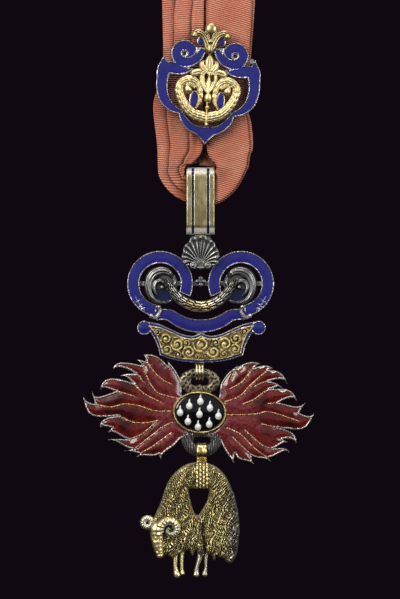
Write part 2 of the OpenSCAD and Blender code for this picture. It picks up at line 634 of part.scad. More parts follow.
// Everything further out than a height, on the moon's own side of the stone
module beyond(height, up) {
    translate([-flames_w / 2, up > 0 ? height : -flames_w]) square([flames_w, flames_w - height]);
}
module half_moon(m) {
    difference() {
        intersection() {
            moon_disc(m, 0);
            beyond(flint_h / 2 + 0.1, m[2]);
        }
        intersection() {
            translate([m[1], m[2] * (m[0] - moon_hole[1])]) dot_fine(moon_hole[0], moon_hole[1]);
            beyond(m[0] - moon_gap, m[2]);
        }
    }
}
module flames() {
    color("gold") {
        translate([flames_x, front_y, flames_z]) plate(moon_t / 2, -moon_t / 2) for (m = moons) half_moon(m);
        flames_place() {
            plate(flames_back, flames_mid) {
                for (b = concat(flame_bands(left_tongues, -1, 0), flame_bands(right_tongues, 1, 0))) polygon(b);
                for (side = SIDES) polygon(body_plan(side, 0));
                flint_plan(flint_rim);
            }
            plate(flames_mid + EPS, flames_front - 0.35) difference() {
                flint_plan(flint_rim);
                flint_plan(0);
            }
        }
    }
}
module flame_field(rows, side) {
    color("firebrick") flames_place() plate(flames_mid - fit, flames_front) difference() {
        union() {
            for (b = flame_bands(rows, side, rim_w)) polygon(b);
            polygon(body_plan(side, rim_w));
        }
        flint_plan(flint_rim + fit);
        rotate(flames_lean) for (m = moons) moon_disc(m, fit);
    }
}
dome = 0.5;
module flint() {
    color("black") flames_place() {
        plate(flames_mid - fit, flames_front) flint_plan(-fit);
        plate(flames_front + EPS, flames_front - dome) flint_plan(-0.7);
    }
}
// White drops on the stone: [x, z] shares of the stone's half sizes
drop_rows = [[-0.78, -0.06], [-0.43, 0.32], [0, 0.6], [0.4, 0.3], [0.76, -0.1], [0, -0.08], [-0.44, -0.5],
    [-0.02, -0.75], [0.42, -0.56]];
// One drop from its foot to its tip: [x, z, breadth] in millimetres
drop_shape = [[0, -0.62, 0.2], [0, -0.45, 0.95], [0, -0.05, 1.3], [-0.02, 0.4, 0.85], [-0.1, 0.95, 0.34],
    [-0.03, 1.4, 0.1]];
drop_rise = 0.45;
module drop(i) {
    p = drop_rows[i];
    color("white") flames_place() plate(flames_front - dome - fit, flames_front - dome - drop_rise)
        translate([p[0] * flint_w / 2, p[1] * flint_h / 2]) polygon(band(drop_shape, 0, 2));
}

// The fleece's ring hangs on the lower half-moon's bar
ring_wall = 0.6;
ring_band = 2.1;
fleece_clear = 0.32;
fleece_top = flames_z - fleece_eye_drop - eye_r - ring_wall;
module fleece_ring() {
    color("gold") translate([flames_x + fleece_x, front_y, flames_z - fleece_eye_drop]) {
        ring_x(eye_r + ring_wall, eye_r, ring_band);
        translate([-ring_band / 2, -moon_t / 2, -eye_r - ring_wall - fleece_clear + 0.02])
            cube([ring_band, moon_t, 0.5]);
    }
}

// The ram: its body hangs from the middle, with a heart-shaped hole below the strap. The body is what its
// front, side and level outlines have in common.
// Columns: [height, left edge, right edge, depth], shares of its height, half width, half width and depth
fleece_rows = [[0, -0.1, 0.12, 0.35], [0.035, -0.34, 0.3, 0.6], [0.075, -0.49, 0.41, 0.8],
    [0.155, -0.65, 0.53, 0.95], [0.23, -0.77, 0.6, 1], [0.31, -0.84, 0.69, 1], [0.39, -0.9, 0.74, 1], [0.465, -0.95, 0.77, 1],
    [0.54, -0.93, 0.79, 1.02], [0.62, -0.94, 0.8, 1.05], [0.7, -0.9, 0.78, 1.02], [0.77, -0.8, 0.75, 0.9],
    [0.81, -0.66, 0.7, 0.6], [0.83, -0.5, 0.6, 0.3]];
fleece_half = fleece_w / 2;
level_mid = -0.08;
level_half = [0.9, 0.54];
function front_outline(rows) = concat([for (r = rows) [r[1] * fleece_half, -r[0] * fleece_h]],
    [for (r = reversed(rows)) [r[2] * fleece_half, -r[0] * fleece_h]]);
function side_outline(rows) = concat([for (r = rows) [r[3] * fleece_d / 2, -r[0] * fleece_h]],
    [for (r = reversed(rows)) [-r[3] * fleece_d / 2, -r[0] * fleece_h]]);
function level_outline() = [for (a = [0:15:345]) [(level_mid + level_half[0] * cos(a)) * fleece_half,
    level_half[1] * fleece_d * sign(sin(a)) * pow(abs(sin(a)), 0.8)]];
module ram_body() {
    rows = smooth(fleece_rows, 2);
    intersection() {
        plate(fleece_d, -fleece_d) polygon(front_outline(rows));
        rotate([90, 0, 90]) translate([0, 0, -fleece_w]) linear_extrude(height = 2 * fleece_w)
            polygon(side_outline(rows));
        translate([0, 0, -fleece_h]) linear_extrude(height = fleece_h) polygon(level_outline());
    }
}
// Columns: [x, y] of each leg and its lean, as shares of the half width and depth, and degrees
leg_rows = [[-0.5, -0.2, 4], [-0.34, 0.22, 0], [-0.05, -0.2, -2], [0.15, 0.22, -5]];
hoof_r = 0.55;
module ram_leg(row) {
    translate([row[0] * fleece_half, row[1] * fleece_d, hoof_r - fleece_h]) rotate([0, row[2], 0]) {
        cylinder(h = 0.22 * fleece_h, r1 = 0.8 * hoof_r, r2 = hoof_r, $fn = 24);
        sphere(hoof_r, $fn = 24);
    }
}
// The bowed head: skull, nose and muzzle, the muzzle below and forward of the skull
skull_at = [-0.72 * fleece_half, -0.32 * fleece_d, -0.6 * fleece_h];
skull_r = 1.6;
muzzle_r = 0.8;
nose_h = 0.15 * fleece_h;
module ram_head() {
    translate(skull_at) {
        sphere(skull_r, $fn = 24);
        translate([-0.8, 0, -0.8]) rotate([0, 172, 0])
            cylinder(h = nose_h, r1 = 0.8 * skull_r, r2 = 0.9 * muzzle_r, $fn = 24);
        translate([-0.35, 0, -nose_h - 1.2]) sphere(muzzle_r, $fn = 24);
    }
}
// A horn lies as a coil round its own middle
module ram_horn(x, y, z, r, tube) {
    translate([x * fleece_half, y * fleece_d, z * fleece_h]) rotate([90, 0, 0]) {
        rotate_extrude($fn = 40) translate([r - tube, 0]) circle(r = tube, $fn = 16);
        sphere(1.2 * tube, $fn = 24);
        rotate([0, 90, 20]) cylinder(h = r - tube, r = 0.8 * tube, $fn = 16);
    }
}
heart_rows = [[0, -0.1], [-0.12, 0], [-0.2, 0.07], [-0.18, 0.11], [-0.06, 0.12], [0, 0.11], [0.06, 0.12],
    [0.18, 0.11], [0.2, 0.07], [0.12, 0], [0, -0.1]];
module heart_hole() {
    rows = smooth(heart_rows, 2);
    translate([-0.08 * fleece_half, 0, -0.35 * fleece_h]) plate(fleece_d, -fleece_d)
        polygon([for (i = [1:len(rows) - 1]) [rows[i][0] * fleece_half, rows[i][1] * fleece_h]]);
}
strap_pitch = 0.75;
strap_r = 0.35;
module fleece() {
    color("gold") translate([flames_x + 0.3, front_y, fleece_top - fleece_clear]) {
        difference() {
            ram_body();
            heart_hole();
        }
        for (row = leg_rows) ram_leg(row);
        ram_head();
        ram_horn(-0.6, -0.53, -0.58, 1.9, 0.55);
        ram_horn(-1.06, -0.1, -0.53, 1.6, 0.45);
        // The three ribs of the waist strap
        for (i = [-1:1]) translate([i * strap_pitch, 0.1 - fleece_d / 2, -0.24 * fleece_h])
            cylinder(h = 0.19 * fleece_h, r = strap_r, $fn = 16);
    }
}

// The ribbon. Each run's rows go from the bail up to where the runs part.
// Columns: [outer x, outer z, inner x, inner z, fullness], x in shares of the ribbon's width; heights below
// the bail's top in shares of the fold, and above it in shares of the hanging height
right_rows = [[0, -1, 0, -0.15, 0], [0.33, -1.04, 0.31, -0.14, 0.15], [0.63, -0.82, 0.33, -0.12, 0.5],
    [0.85, -0.5, 0.34, -0.08, 0.8], [1.06, 0, 0.3, -0.02, 1], [1.15, 0.09, 0.17, 0.06, 0.9],
    [1.12, 0.2, 0.12, 0.17, 0.7], [1.02, 0.31, 0.12, 0.3, 0.3], [1.1, 0.5, 0.12, 0.5, 0],
    [1.2, 0.8, 0.12, 0.8, 0], [1.18, 1, 0.12, 1, 0]];
left_rows = [[0, -1, 0, -0.15, 0], [0.34, -0.95, 0.31, -0.14, 0.15], [0.68, -0.68, 0.3, -0.1, 0.5],
    [0.88, -0.3, 0.2, -0.06, 0.8], [0.93, 0.03, 0.04, 0, 1], [0.94, 0.1, -0.07, 0.06, 0.9],
    [0.98, 0.2, -0.09, 0.17, 0.7], [0.95, 0.29, -0.09, 0.28, 0.3], [0.84, 0.36, -0.09, 0.36, 0.1],
    [0.84, 0.42, -0.09, 0.42, 0], [0.92, 0.53, -0.09, 0.53, 0], [0.84, 0.8, -0.09, 0.8, 0],
    [0.82, 1, -0.09, 1, 0]];
lobe_full = 0.8;
// The section of the folded ribbon: [across, through] shares, with the step of the fold behind
fold_section = [[-1, 0.1], [-0.96, 0.42], [-0.82, 0.5], [0, 0.5], [0.82, 0.5], [0.96, 0.42], [1, 0.1],
    [0.98, -0.3], [0.8, -0.4], [0.72, -0.5], [-0.1, -0.5], [-0.9, -0.5], [-0.98, -0.3]];
neck_steps = 18;
function ribbon_height(share) = bail_top + share * (share < 0 ? fold_h : hang_h);
function run_sections(rows, side) = [for (r = smooth(rows, 3)) let(
    y = front_y - lobe_full * r[4],
    o = [side * r[0] * ribbon_w, y, ribbon_height(r[1])], i = [side * r[2] * ribbon_w, y, ribbon_height(r[3])])
    [(o + i) / 2, (o - i) / 2, [0, -1, 0]]];
// The loop round the neck climbs a level ellipse; angles start at the front
function neck_point(start, t) = let(a = start + (180 - start) * t)
    [neck_half_w * sin(a), -neck_half_d * (1 + cos(a)), part_z + neck_rise * sqrt(1 - pow(1 - t, 2))];
function neck_sections(row, side) = let(
    mid = (row[0] + row[2]) / 2 * ribbon_w,
    start = asin(mid / neck_half_w),
    half = (row[0] - row[2]) / 2 * ribbon_w)
    [for (k = [1:neck_steps]) let(
        t = 1 - cos(90 * k / neck_steps), p = neck_point(start, t),
        q = neck_point(start, min(t + 0.002, 1)), q2 = neck_point(start, t - 0.002),
        along = (q - q2) / norm(q - q2), a = start + (180 - start) * t,
        out = [sin(a) / neck_half_w, -cos(a) / neck_half_d, 0], n = out / norm(out), w = cross(along, n))
        [[side * (p[0] + n[0] * ribbon_t / 2), p[1] + n[1] * ribbon_t / 2, p[2]],
            half * [side * w[0], w[1], w[2]] / norm(w), [side * n[0], n[1], n[2]]]];
function run_all(rows, side) = concat(run_sections(rows, side), neck_sections(rows[len(rows) - 1], side));
function section_points(s) = [for (p = fold_section) s[0] + p[0] * s[1] + p[1] * ribbon_t * s[2]];
module ribbon() {
    right = run_all(right_rows, 1);
    left = run_all(left_rows, -1);
    loop = concat(right, [for (i = [len(left) - 2:-1:1]) left[i]]);
    n = len(loop);
    m = len(fold_section);
    color("salmon") polyhedron([for (s = loop) each section_points(s)],
        [for (j = [0:n - 1], i = [0:m - 1]) each
            let(k = (j + 1) % n, l = (i + 1) % m, a = j * m + i, b = k * m + i, c = k * m + l, d = j * m + l)
            [[a, b, c], [a, c, d]]], convexity = 6);
}

ribbon();
keeper_frame();
keeper_enamel();
keeper_scrolls();
keeper_drops();
keeper_crest();
bail();
bail_enamel();
hinge_pin();
shell();
scroll_frame();
ring_field(-1);  // ring_enamel_left
ring_field(1);  // ring_enamel_right
banner_enamel();
acanthus(-1);  // acanthus_left
acanthus(1);  // acanthus_right
field(-1);  // field_left
field(1);  // field_right
swag();
quatrefoil();
plaque_frame();
plaque_enamel();
plaque_relief();
wire_loop();
flames();
flame_field(left_tongues, -1);  // flame_enamel_left
flame_field(right_tongues, 1);  // flame_enamel_right
flint();
for (i = [0:8]) drop(i);
fleece_ring();
fleece();
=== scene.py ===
import math

import bpy
import numpy as np
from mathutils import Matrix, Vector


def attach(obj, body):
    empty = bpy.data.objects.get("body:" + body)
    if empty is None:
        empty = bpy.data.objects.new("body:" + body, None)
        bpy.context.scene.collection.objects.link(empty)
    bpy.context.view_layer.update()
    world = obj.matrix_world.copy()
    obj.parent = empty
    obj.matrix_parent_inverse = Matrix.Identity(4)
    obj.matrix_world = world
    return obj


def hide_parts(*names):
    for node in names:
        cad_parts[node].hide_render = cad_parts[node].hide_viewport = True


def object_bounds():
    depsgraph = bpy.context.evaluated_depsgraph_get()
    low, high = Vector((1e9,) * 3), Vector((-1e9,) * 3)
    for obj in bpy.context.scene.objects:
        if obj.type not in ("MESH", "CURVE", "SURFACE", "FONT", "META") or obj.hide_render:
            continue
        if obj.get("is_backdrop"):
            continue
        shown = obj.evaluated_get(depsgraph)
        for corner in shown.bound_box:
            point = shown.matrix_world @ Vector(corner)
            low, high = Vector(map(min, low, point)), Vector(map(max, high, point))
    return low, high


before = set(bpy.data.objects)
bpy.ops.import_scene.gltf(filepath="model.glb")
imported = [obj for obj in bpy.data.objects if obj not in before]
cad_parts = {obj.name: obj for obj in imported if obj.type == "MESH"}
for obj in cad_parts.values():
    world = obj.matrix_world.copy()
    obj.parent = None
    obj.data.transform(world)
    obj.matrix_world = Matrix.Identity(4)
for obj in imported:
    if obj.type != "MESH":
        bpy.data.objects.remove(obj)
cad_low, cad_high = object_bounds()

# THE STUDIO. A near-black sweep lies under the badge and rises far behind it. Two large soft lamps stand in front
# and one above, and a long lens looks level at the badge's front face, so that 599 picture rows hold 131.8 mm.
MM = 0.001
FRONT_Y = -128.9 * MM
PICTURE_H = 131.8 * MM
PICTURE_MID = (-0.11 * MM, -135.15 * MM)
LENS_STAND = 0.9
SENSOR = 36

camera = bpy.data.objects.new("camera", bpy.data.cameras.new("camera"))
camera.data.sensor_width = SENSOR
camera.data.lens = SENSOR * LENS_STAND / PICTURE_H
camera.data.clip_start = 0.01
camera.location = (PICTURE_MID[0], FRONT_Y - LENS_STAND, PICTURE_MID[1])
camera.rotation_euler = (math.pi / 2, 0, 0)
bpy.context.scene.collection.objects.link(camera)
bpy.context.scene.camera = camera
bpy.context.scene.view_settings.view_transform = "Standard"

world = bpy.data.worlds.new("studio")
world.use_nodes = True
world.node_tree.nodes["Background"].inputs["Color"].default_value = (0.86, 0.88, 0.92, 1)
world.node_tree.nodes["Background"].inputs["Strength"].default_value = 0.22
bpy.context.scene.world = world

# Columns: name, place, aim, width, height, power in watts, colour
LAMPS = [
    ("lamp_left", (-0.62, -0.95, 0.30), (0, -0.12, -0.13), 0.50, 0.70, 8.5, (1.0, 0.97, 0.93)),
    ("lamp_right", (0.70, -0.75, 0.02), (0, -0.12, -0.14), 0.30, 0.70, 4.5, (0.93, 0.96, 1.0)),
    ("lamp_top", (0.05, -0.25, 0.75), (0, -0.10, -0.10), 0.60, 0.40, 4.5, (1.0, 1.0, 1.0)),
]
for name, place, aim, width, height, power, colour in LAMPS:
    lamp = bpy.data.objects.new(name, bpy.data.lights.new(name, "AREA"))
    lamp.data.shape, lamp.data.size, lamp.data.size_y = "RECTANGLE", width, height
    lamp.data.energy, lamp.data.color = power, colour
    lamp.location = place
    lamp.rotation_euler = (Vector(aim) - Vector(place)).to_track_quat("-Z", "Y").to_euler()
    bpy.context.scene.collection.objects.link(lamp)

# The sweep: a flat floor that bends up into a wall behind, one strip of quads along x
FLOOR_Z, FLOOR_Y, WALL_Y, WALL_TOP, SWEEP_R, SWEEP_HALF = -0.205, -2.5, 3.2, 1.5, 0.35, 8.0
bend = np.linspace(0, math.pi / 2, 17)
sweep_y = np.concatenate([[FLOOR_Y], WALL_Y - SWEEP_R + SWEEP_R * np.sin(bend), [WALL_Y]])
sweep_z = np.concatenate([[FLOOR_Z], FLOOR_Z + SWEEP_R * (1 - np.cos(bend)), [WALL_TOP]])
sweep_points = [(x, y, z) for y, z in zip(sweep_y, sweep_z) for x in (-SWEEP_HALF, SWEEP_HALF)]
sweep = bpy.data.meshes.new("sweep")
sweep.from_pydata(sweep_points, [], [(2 * i, 2 * i + 1, 2 * i + 3, 2 * i + 2) for i in range(len(sweep_y) - 1)])
sweep.shade_smooth()
sweep_paint = bpy.data.materials.new("sweep_paint")
sweep_paint.use_nodes = True
paint_sockets = {"Base Color": (0, 0, 0, 1), "Specular IOR Level": 0.0,
                 "Emission Color": (0.0052, 0.0027, 0.0056, 1), "Emission Strength": 1.0}
for socket, value in paint_sockets.items():
    sweep_paint.node_tree.nodes["Principled BSDF"].inputs[socket].default_value = value
sweep.materials.append(sweep_paint)
floor = bpy.data.objects.new("sweep", sweep)
bpy.context.scene.collection.objects.link(floor)
floor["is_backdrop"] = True

# THE KEEPER. A pierced silver plate slides on the ribbon: two arms, two rolled discs and a pointed base, each
# a cell of navy enamel inside a raised silver rim. Cast and chased gilt scrolls are riveted over its middle.
# All lengths of the badge's parts are in millimetres, across (x), up (z) and rise towards the viewer.
KEEPER_AT, KEEPER_LEAN = (1.65, -88.6), 3.3
KEEPER_HALF = np.array([11.4, 13.4, 11.4])
KEEPER_BACK, KEEPER_FACE = 3.1, 4.14
KEEPER_KNOB = (9.3, 6.1, 0.5)
RIM, RIM_RISE = 0.24, 0.16
EYE_R, EYE_RIM_R = 0.45, 0.85
NAVY, NAVY_DEEP = (0.024, 0.026, 0.235), (0.012, 0.012, 0.14)
# The third colour of each metal is the painted shade laid in its recesses
SILVER, SILVER_DULL, SILVER_SHADE = (0.72, 0.71, 0.69), (0.36, 0.35, 0.33), (0.035, 0.03, 0.026)
GILT, GILT_DULL, GILT_SHADE = (1.0, 0.82, 0.42), (0.62, 0.50, 0.24), (0.055, 0.038, 0.018)


def curve(rows, steps=6):
    """A smooth run through the rows: each span is the cubic whose slope at a row is half the step between its
    neighbours."""
    rows = np.asarray(rows, float)
    ends = np.vstack([rows[:1], rows, rows[-1:]])
    a, b, c, d = ends[:-3, None], ends[1:-2, None], ends[2:-1, None], ends[3:, None]
    t = np.linspace(0, 1, steps, endpoint=False)[None, :, None]
    run = 0.5 * (2 * b + (c - a) * t + (2 * a - 5 * b + 4 * c - d) * t**2 + (3 * b - a - 3 * c + d) * t**3)
    return np.vstack([run.reshape(-1, rows.shape[1]), rows[-1:]])


def stroke(x, z, run):
    """A band along a run of [x, z, breadth]: depth inside its edge, place across from -1 to 1, length along it. At
    each point the nearest of the run's straight spans counts, its half breadth changing evenly from end to end."""
    inside, across, along = np.full(np.shape(x), -2.0), np.zeros(np.shape(x)), np.zeros(np.shape(x))
    low, high = run[:, :2].min(0) - run[:, 2].max() - 1, run[:, :2].max(0) + run[:, 2].max() + 1
    near = (x > low[0]) & (x < high[0]) & (z > low[1]) & (z < high[1])
    px, pz = x[near], z[near]
    best, side, far = np.full(px.shape, -2.0), np.zeros(px.shape), np.zeros(px.shape)
    length = 0.0
    for (ax, az, aw), (bx, bz, bw) in zip(run[:-1], run[1:]):
        dx, dz = bx - ax, bz - az
        span = math.hypot(dx, dz)
        if span < 1e-9:
            continue
        t = np.clip(((px - ax) * dx + (pz - az) * dz) / span**2, 0, 1)
        half = (aw + (bw - aw) * t) / 2
        off_x, off_z = px - ax - dx * t, pz - az - dz * t
        off = np.hypot(off_x, off_z)
        depth = half - off
        nearer = depth > best
        sign = np.sign(dx * off_z - dz * off_x)
        best = np.where(nearer, depth, best)
        side = np.where(nearer, sign * off / np.maximum(half, 1e-6), side)
        far = np.where(nearer, length + span * t, far)
        length += span
    inside[near], across[near], along[near] = best, side, far
    return inside, across, along


def ellipse(x, z, cx, cz, rx, rz=None):
    """Depth inside an ellipse: one less the point's share of the radius, over how fast that share grows there."""
    rz = rx if rz is None else rz
    u, v = (x - cx) / rx, (z - cz) / rz
    share = np.maximum(np.hypot(u, v), 1e-6)
    return (1 - share) * share / np.maximum(np.hypot(u / rx, v / rz), 1e-6)


def both(rows):
    """The rows and their mirror image on the other side of the middle."""
    return [rows, rows * np.array([-1, 1, 1])]


def soft_step(value, low, high):
    """0 below low, 1 above high, and an even S between."""
    t = np.clip((value - low) / (high - low), 0, 1)
    return t * t * (3 - 2 * t)


def cast(name, points, quads, marks, crease):
    """A piece from points in millimetres and quads, smooth but for edges sharper than the crease in degrees. Each
    mark is a value at every point, which a finish can read."""
    mesh = bpy.data.meshes.new(name)
    mesh.vertices.add(len(points))
    mesh.vertices.foreach_set("co", (points * MM).ravel())
    mesh.loops.add(quads.size)
    mesh.loops.foreach_set("vertex_index", quads.ravel())
    mesh.polygons.add(len(quads))
    mesh.polygons.foreach_set("loop_start", np.arange(0, quads.size, 4))
    mesh.update(calc_edges=True)
    for label, values in marks.items():
        mesh.attributes.new(label, "FLOAT", "POINT").data.foreach_set("value", np.asarray(values, float))
    mesh.shade_smooth()
    mesh.set_sharp_from_angle(angle=math.radians(crease))
    piece = bpy.data.objects.new(name, mesh)
    bpy.context.scene.collection.objects.link(piece)
    return piece


def relief(name, box, step, inside, rise, back, marks=(), at=(0, 0), lean=0, crease=38):
    """A solid cast in relief. A grid over the box keeps the cells that reach inside the outline; corners outside
    it slide down the slope of the depth until they lie on it. The front stands `rise` proud and the back `back`."""
    grid_x, grid_z = np.meshgrid(
        np.arange(box[0], box[2] + step, step), np.arange(box[1], box[3] + step, step), indexing="ij")
    depth = inside(grid_x, grid_z)
    cell = np.maximum.reduce([depth[:-1, :-1], depth[1:, :-1], depth[1:, 1:], depth[:-1, 1:]]) > 0
    used = np.zeros(depth.shape, bool)
    for i in (slice(None, -1), slice(1, None)):
        for j in (slice(None, -1), slice(1, None)):
            used[i, j] |= cell
    number = np.full(depth.shape, -1)
    number[used] = np.arange(used.sum())
    x, z = grid_x[used], grid_z[used]
    nudge = step / 8
    for _ in range(3):
        depth = inside(x, z)
        out = depth < 0
        ox, oz = x[out], z[out]
        slope_x = (inside(ox + nudge, oz) - inside(ox - nudge, oz)) / (2 * nudge)
        slope_z = (inside(ox, oz + nudge) - inside(ox, oz - nudge)) / (2 * nudge)
        pull = depth[out] / np.maximum(slope_x**2 + slope_z**2, 0.25)
        x[out] -= np.clip(pull * slope_x, -step, step)
        z[out] -= np.clip(pull * slope_z, -step, step)
    depth = np.maximum(inside(x, z), 0)
    i, j = np.nonzero(cell)
    front = np.stack([number[i, j], number[i + 1, j], number[i + 1, j + 1], number[i, j + 1]], 1)
    count = len(x)
    rear = front[:, ::-1] + count
    edges = np.concatenate([front[:, [k, (k + 1) % 4]] for k in range(4)])
    keys = edges.min(1) * count + edges.max(1)
    _, first, times = np.unique(keys, return_index=True, return_counts=True)
    rim = edges[first[times == 1]]
    wall = np.stack([rim[:, 1], rim[:, 0], rim[:, 0] + count, rim[:, 1] + count], 1)
    rear_rise = back(x, z, depth) if callable(back) else np.full(count, float(back))
    cos, sin = math.cos(math.radians(lean)), math.sin(math.radians(lean))
    points = np.concatenate([
        np.stack([at[0] + x * cos + z * sin, FRONT_Y / MM - h, at[1] - x * sin + z * cos], 1)
        for h in (rise(x, z, depth), rear_rise)])
    values = {}
    for label, mark in dict(marks).items():
        ahead = mark(x, z, depth)
        values[label] = np.concatenate([ahead, ahead if callable(back) else np.full(count, -1.0)])
    return cast(name, points, np.concatenate([front, rear, wall]), values, crease)


class Value:
    """A number or colour that varies over a surface. Arithmetic on it adds Math nodes to its finish."""

    def __init__(self, finish, socket):
        self.finish, self.socket = finish, socket

    def maths(self, operation, *terms):
        """A Math node on the terms, or on the value alone."""
        return self.finish.node("ShaderNodeMath", {"operation": operation}, dict(enumerate(terms or (self,))))

    def __add__(self, other):
        return self.maths("ADD", self, other)

    def __sub__(self, other):
        return self.maths("SUBTRACT", self, other)

    def __rsub__(self, other):
        return self.maths("SUBTRACT", other, self)

    def __mul__(self, other):
        return self.maths("MULTIPLY", self, other)

    __radd__, __rmul__ = __add__, __mul__

    def step(self, low, high):
        """0 where the value is below low, 1 above high, and an even S between."""
        return self.finish.node("ShaderNodeMapRange", {"interpolation_type": "SMOOTHSTEP"},
                                {"Value": self, "From Min": low, "From Max": high})


class Finish:
    """One material in the making, around its Principled shader."""

    def __init__(self, name, **constants):
        self.material = bpy.data.materials.new(name)
        self.material.use_nodes = True
        self.tree = self.material.node_tree
        self.shader = self.tree.nodes["Principled BSDF"]
        for socket, value in constants.items():
            self.shader.inputs[socket.replace("_", " ")].default_value = value

    def node(self, kind, settings=(), sockets=(), out=0):
        """A node of any type: its settings first, then each socket's link or value, a colour with its alpha added."""
        made = self.tree.nodes.new(kind)
        for key, value in dict(settings).items():
            setattr(made, key, value)
        for key, value in dict(sockets).items():
            socket = made.inputs[key]
            if isinstance(value, Value):
                self.tree.links.new(value.socket, socket)
            else:
                socket.default_value = (*value, 1) if socket.type == "RGBA" and len(value) == 3 else value
        return Value(self, made.outputs[out])

    def mix(self, share, first, second):
        """The first colour where the share is 0, the second where it is 1."""
        return self.node("ShaderNodeMix", {"data_type": "RGBA"}, {0: share, 6: first, 7: second}, out=2)

    def noise(self, size, detail=3.0, rough=0.55, stretch=(1, 1, 1)):
        """Cloudy noise whose blotches are about `size` millimetres across."""
        scale = tuple(s / size / MM for s in stretch)
        place = self.node("ShaderNodeTexCoord", out="Object")
        place = self.node("ShaderNodeMapping", {}, {"Vector": place, "Scale": scale})
        return self.node(
            "ShaderNodeTexNoise", {}, {"Vector": place, "Scale": 1.0, "Detail": detail, "Roughness": rough})

    def shelter(self, reach, samples=6, **settings):
        """1 where the surface around stands in the way of light within the reach in millimetres, 0 in the open."""
        return 1 - self.node("ShaderNodeAmbientOcclusion", {"samples": samples, **settings},
                             {"Distance": reach * MM}, out="AO")

    def bump(self, height, reach, strength):
        """Small unevenness of a height, reach in millimetres."""
        return self.node("ShaderNodeBump", {}, {"Height": height, "Distance": reach * MM, "Strength": strength})

    def mark(self, label):
        """A value that the mesh carries at every point."""
        return self.node("ShaderNodeAttribute", {"attribute_name": label}, out="Fac")

    def feed(self, **sockets):
        """Link values to the shader's sockets, and give the finished material."""
        for socket, value in sockets.items():
            self.tree.links.new(value.socket, self.shader.inputs[socket.replace("_", " ")])
        return self.material


def worn_and_shaded_metal(finish, bright, dull, dark, rough=0.28, shade_strength=1.0, reach=0.5):
    """Hand-polished metal: tarnish in cloudy patches, and painted shade in the dark colour where the surface around
    stands in the way of light.
    """
    patch = finish.noise(1.6, 4.0).step(0.42, 0.68)
    crumb = finish.noise(0.22, 2.0)
    # Painted shade: the dark colour is laid, and the surface roughened, where ambient occlusion finds the light
    # blocked
    recess_shade = (finish.shelter(reach, only_local=True) * shade_strength + crumb * 0.12 - 0.06).step(0.10, 0.62)
    colour = finish.mix(recess_shade, finish.mix(patch * 0.6, bright, dull), dark)
    roughness = rough + patch * 0.12 + recess_shade * 0.3 + crumb * 0.08
    return colour, roughness, crumb


def metal(name, bright, dull, dark, rough=0.28, shade_strength=1.0, reach=0.5, grain=0.12):
    """Worn metal with painted shade in its recesses and a faint grain."""
    finish = Finish(name, Metallic=1.0)
    colour, roughness, crumb = worn_and_shaded_metal(finish, bright, dull, dark, rough, shade_strength, reach)
    return finish.feed(Base_Color=colour, Roughness=roughness, Normal=finish.bump(crumb, 0.05, grain))


def enamelled(name, bright, dull, dark, glass, glass_deep):
    """Metal with fused glass wherever the mark `enamel` is above 0, the mark being millimetres inside the cell."""
    finish = Finish(name, Coat_Roughness=0.06)
    colour, roughness, crumb = worn_and_shaded_metal(finish, bright, dull, dark)
    cell = finish.mark("enamel").step(-0.03, 0.03)
    cloud = finish.noise(2.2, 3.0).step(0.3, 0.75)
    speck = finish.noise(0.12, 1.0).step(0.72, 0.8)
    fused = finish.mix(speck * 0.25, finish.mix(cloud * 0.6, glass, glass_deep), (0.1, 0.1, 0.35))
    return finish.feed(
        Base_Color=finish.mix(cell, colour, fused), Metallic=1 - cell,
        Roughness=roughness * (1 - cell) + cell * 0.16 + cell * cloud * 0.1, Coat_Weight=cell * 0.7,
        Normal=finish.bump(crumb, 0.03, 0.12))


def celled(depth):
    """A cell's rise: a half-round rim down to a rim's breadth below 0, and glass that domes a little inside."""
    depth = np.maximum(depth, -RIM)
    return np.where(depth > 0, 0.05 * (1 - np.exp(-depth / 0.5)) - 0.03, RIM_RISE * rounded(1 + 2 * depth / RIM))


def rounded(across):
    """A half-round section, flat towards the middle."""
    return np.sqrt(np.clip(1 - across**2, 0, 1))


# Columns: across, up and breadth, as shares of the keeper's half width, half height and half width
keeper_cells = [
    [[0.50, -0.43, 0.09], [0.67, -0.37, 0.15], [0.82, -0.24, 0.20], [0.885, -0.06, 0.215], [0.885, 0.11, 0.225],
     [0.87, 0.25, 0.25], [0.875, 0.37, 0.12], [0.88, 0.47, 0.01]],
    [[0.93, 0.25, 0.1], [0.745, 0.284, 0.235], [0.57, 0.254, 0.19], [0.42, 0.254, 0.105], [0.31, 0.284, 0.01]],
    [[0.60, 0.37, 0.13], [0.44, 0.36, 0.15], [0.29, 0.418, 0.16], [0.20, 0.5, 0.16], [0.15, 0.575, 0.13]],
    [[0.49, -0.455, 0.09], [0.425, -0.56, 0.14], [0.31, -0.655, 0.155], [0.16, -0.715, 0.17], [0, -0.74, 0.2]],
]
TIP_Z, TIP_TOP = -12.6, -9.2
keeper_bar = [[0.08, 0.612, 0.06], [0.26, 0.62, 0.05]]
disc_at, disc_r = np.array([0.49, 0.526]) * KEEPER_HALF[:2], 0.255 * KEEPER_HALF[0]
# The silver line that rolls from the bar round each disc's eye, in millimetres from the keeper's middle
roll_line = [[2.9, 8.4, 0.2], [3.05, 7.75, 0.22], [3.45, 6.95, 0.22], [4.3, 6.3, 0.2], [5.2, 6.1, 0.18],
             [5.75, 6.3, 0.16]]
cell_runs = [side for rows in keeper_cells for side in both(curve(np.array(rows) * KEEPER_HALF))]
bar_runs = both(curve(np.array(keeper_bar) * KEEPER_HALF))
roll_runs = both(curve(roll_line))


def keeper_cell_depth(x, z):
    """Depth inside the cells alone: the deepest of the arms, wedges, tails, base and discs, less the two eyes. The
    base's tip broadens almost evenly from its point."""
    up = z - TIP_Z
    tip = np.minimum.reduce([0.75 * (0.06 * up**2 + 0.8 * up + 0.06 - np.abs(x)), up, TIP_TOP - z])
    depth = np.maximum.reduce([tip] + [stroke(x, z, run)[0] for run in cell_runs])
    return np.minimum(np.maximum(depth, ellipse(np.abs(x), z, *disc_at, disc_r)),
                      -ellipse(np.abs(x), z, *disc_at, EYE_R))


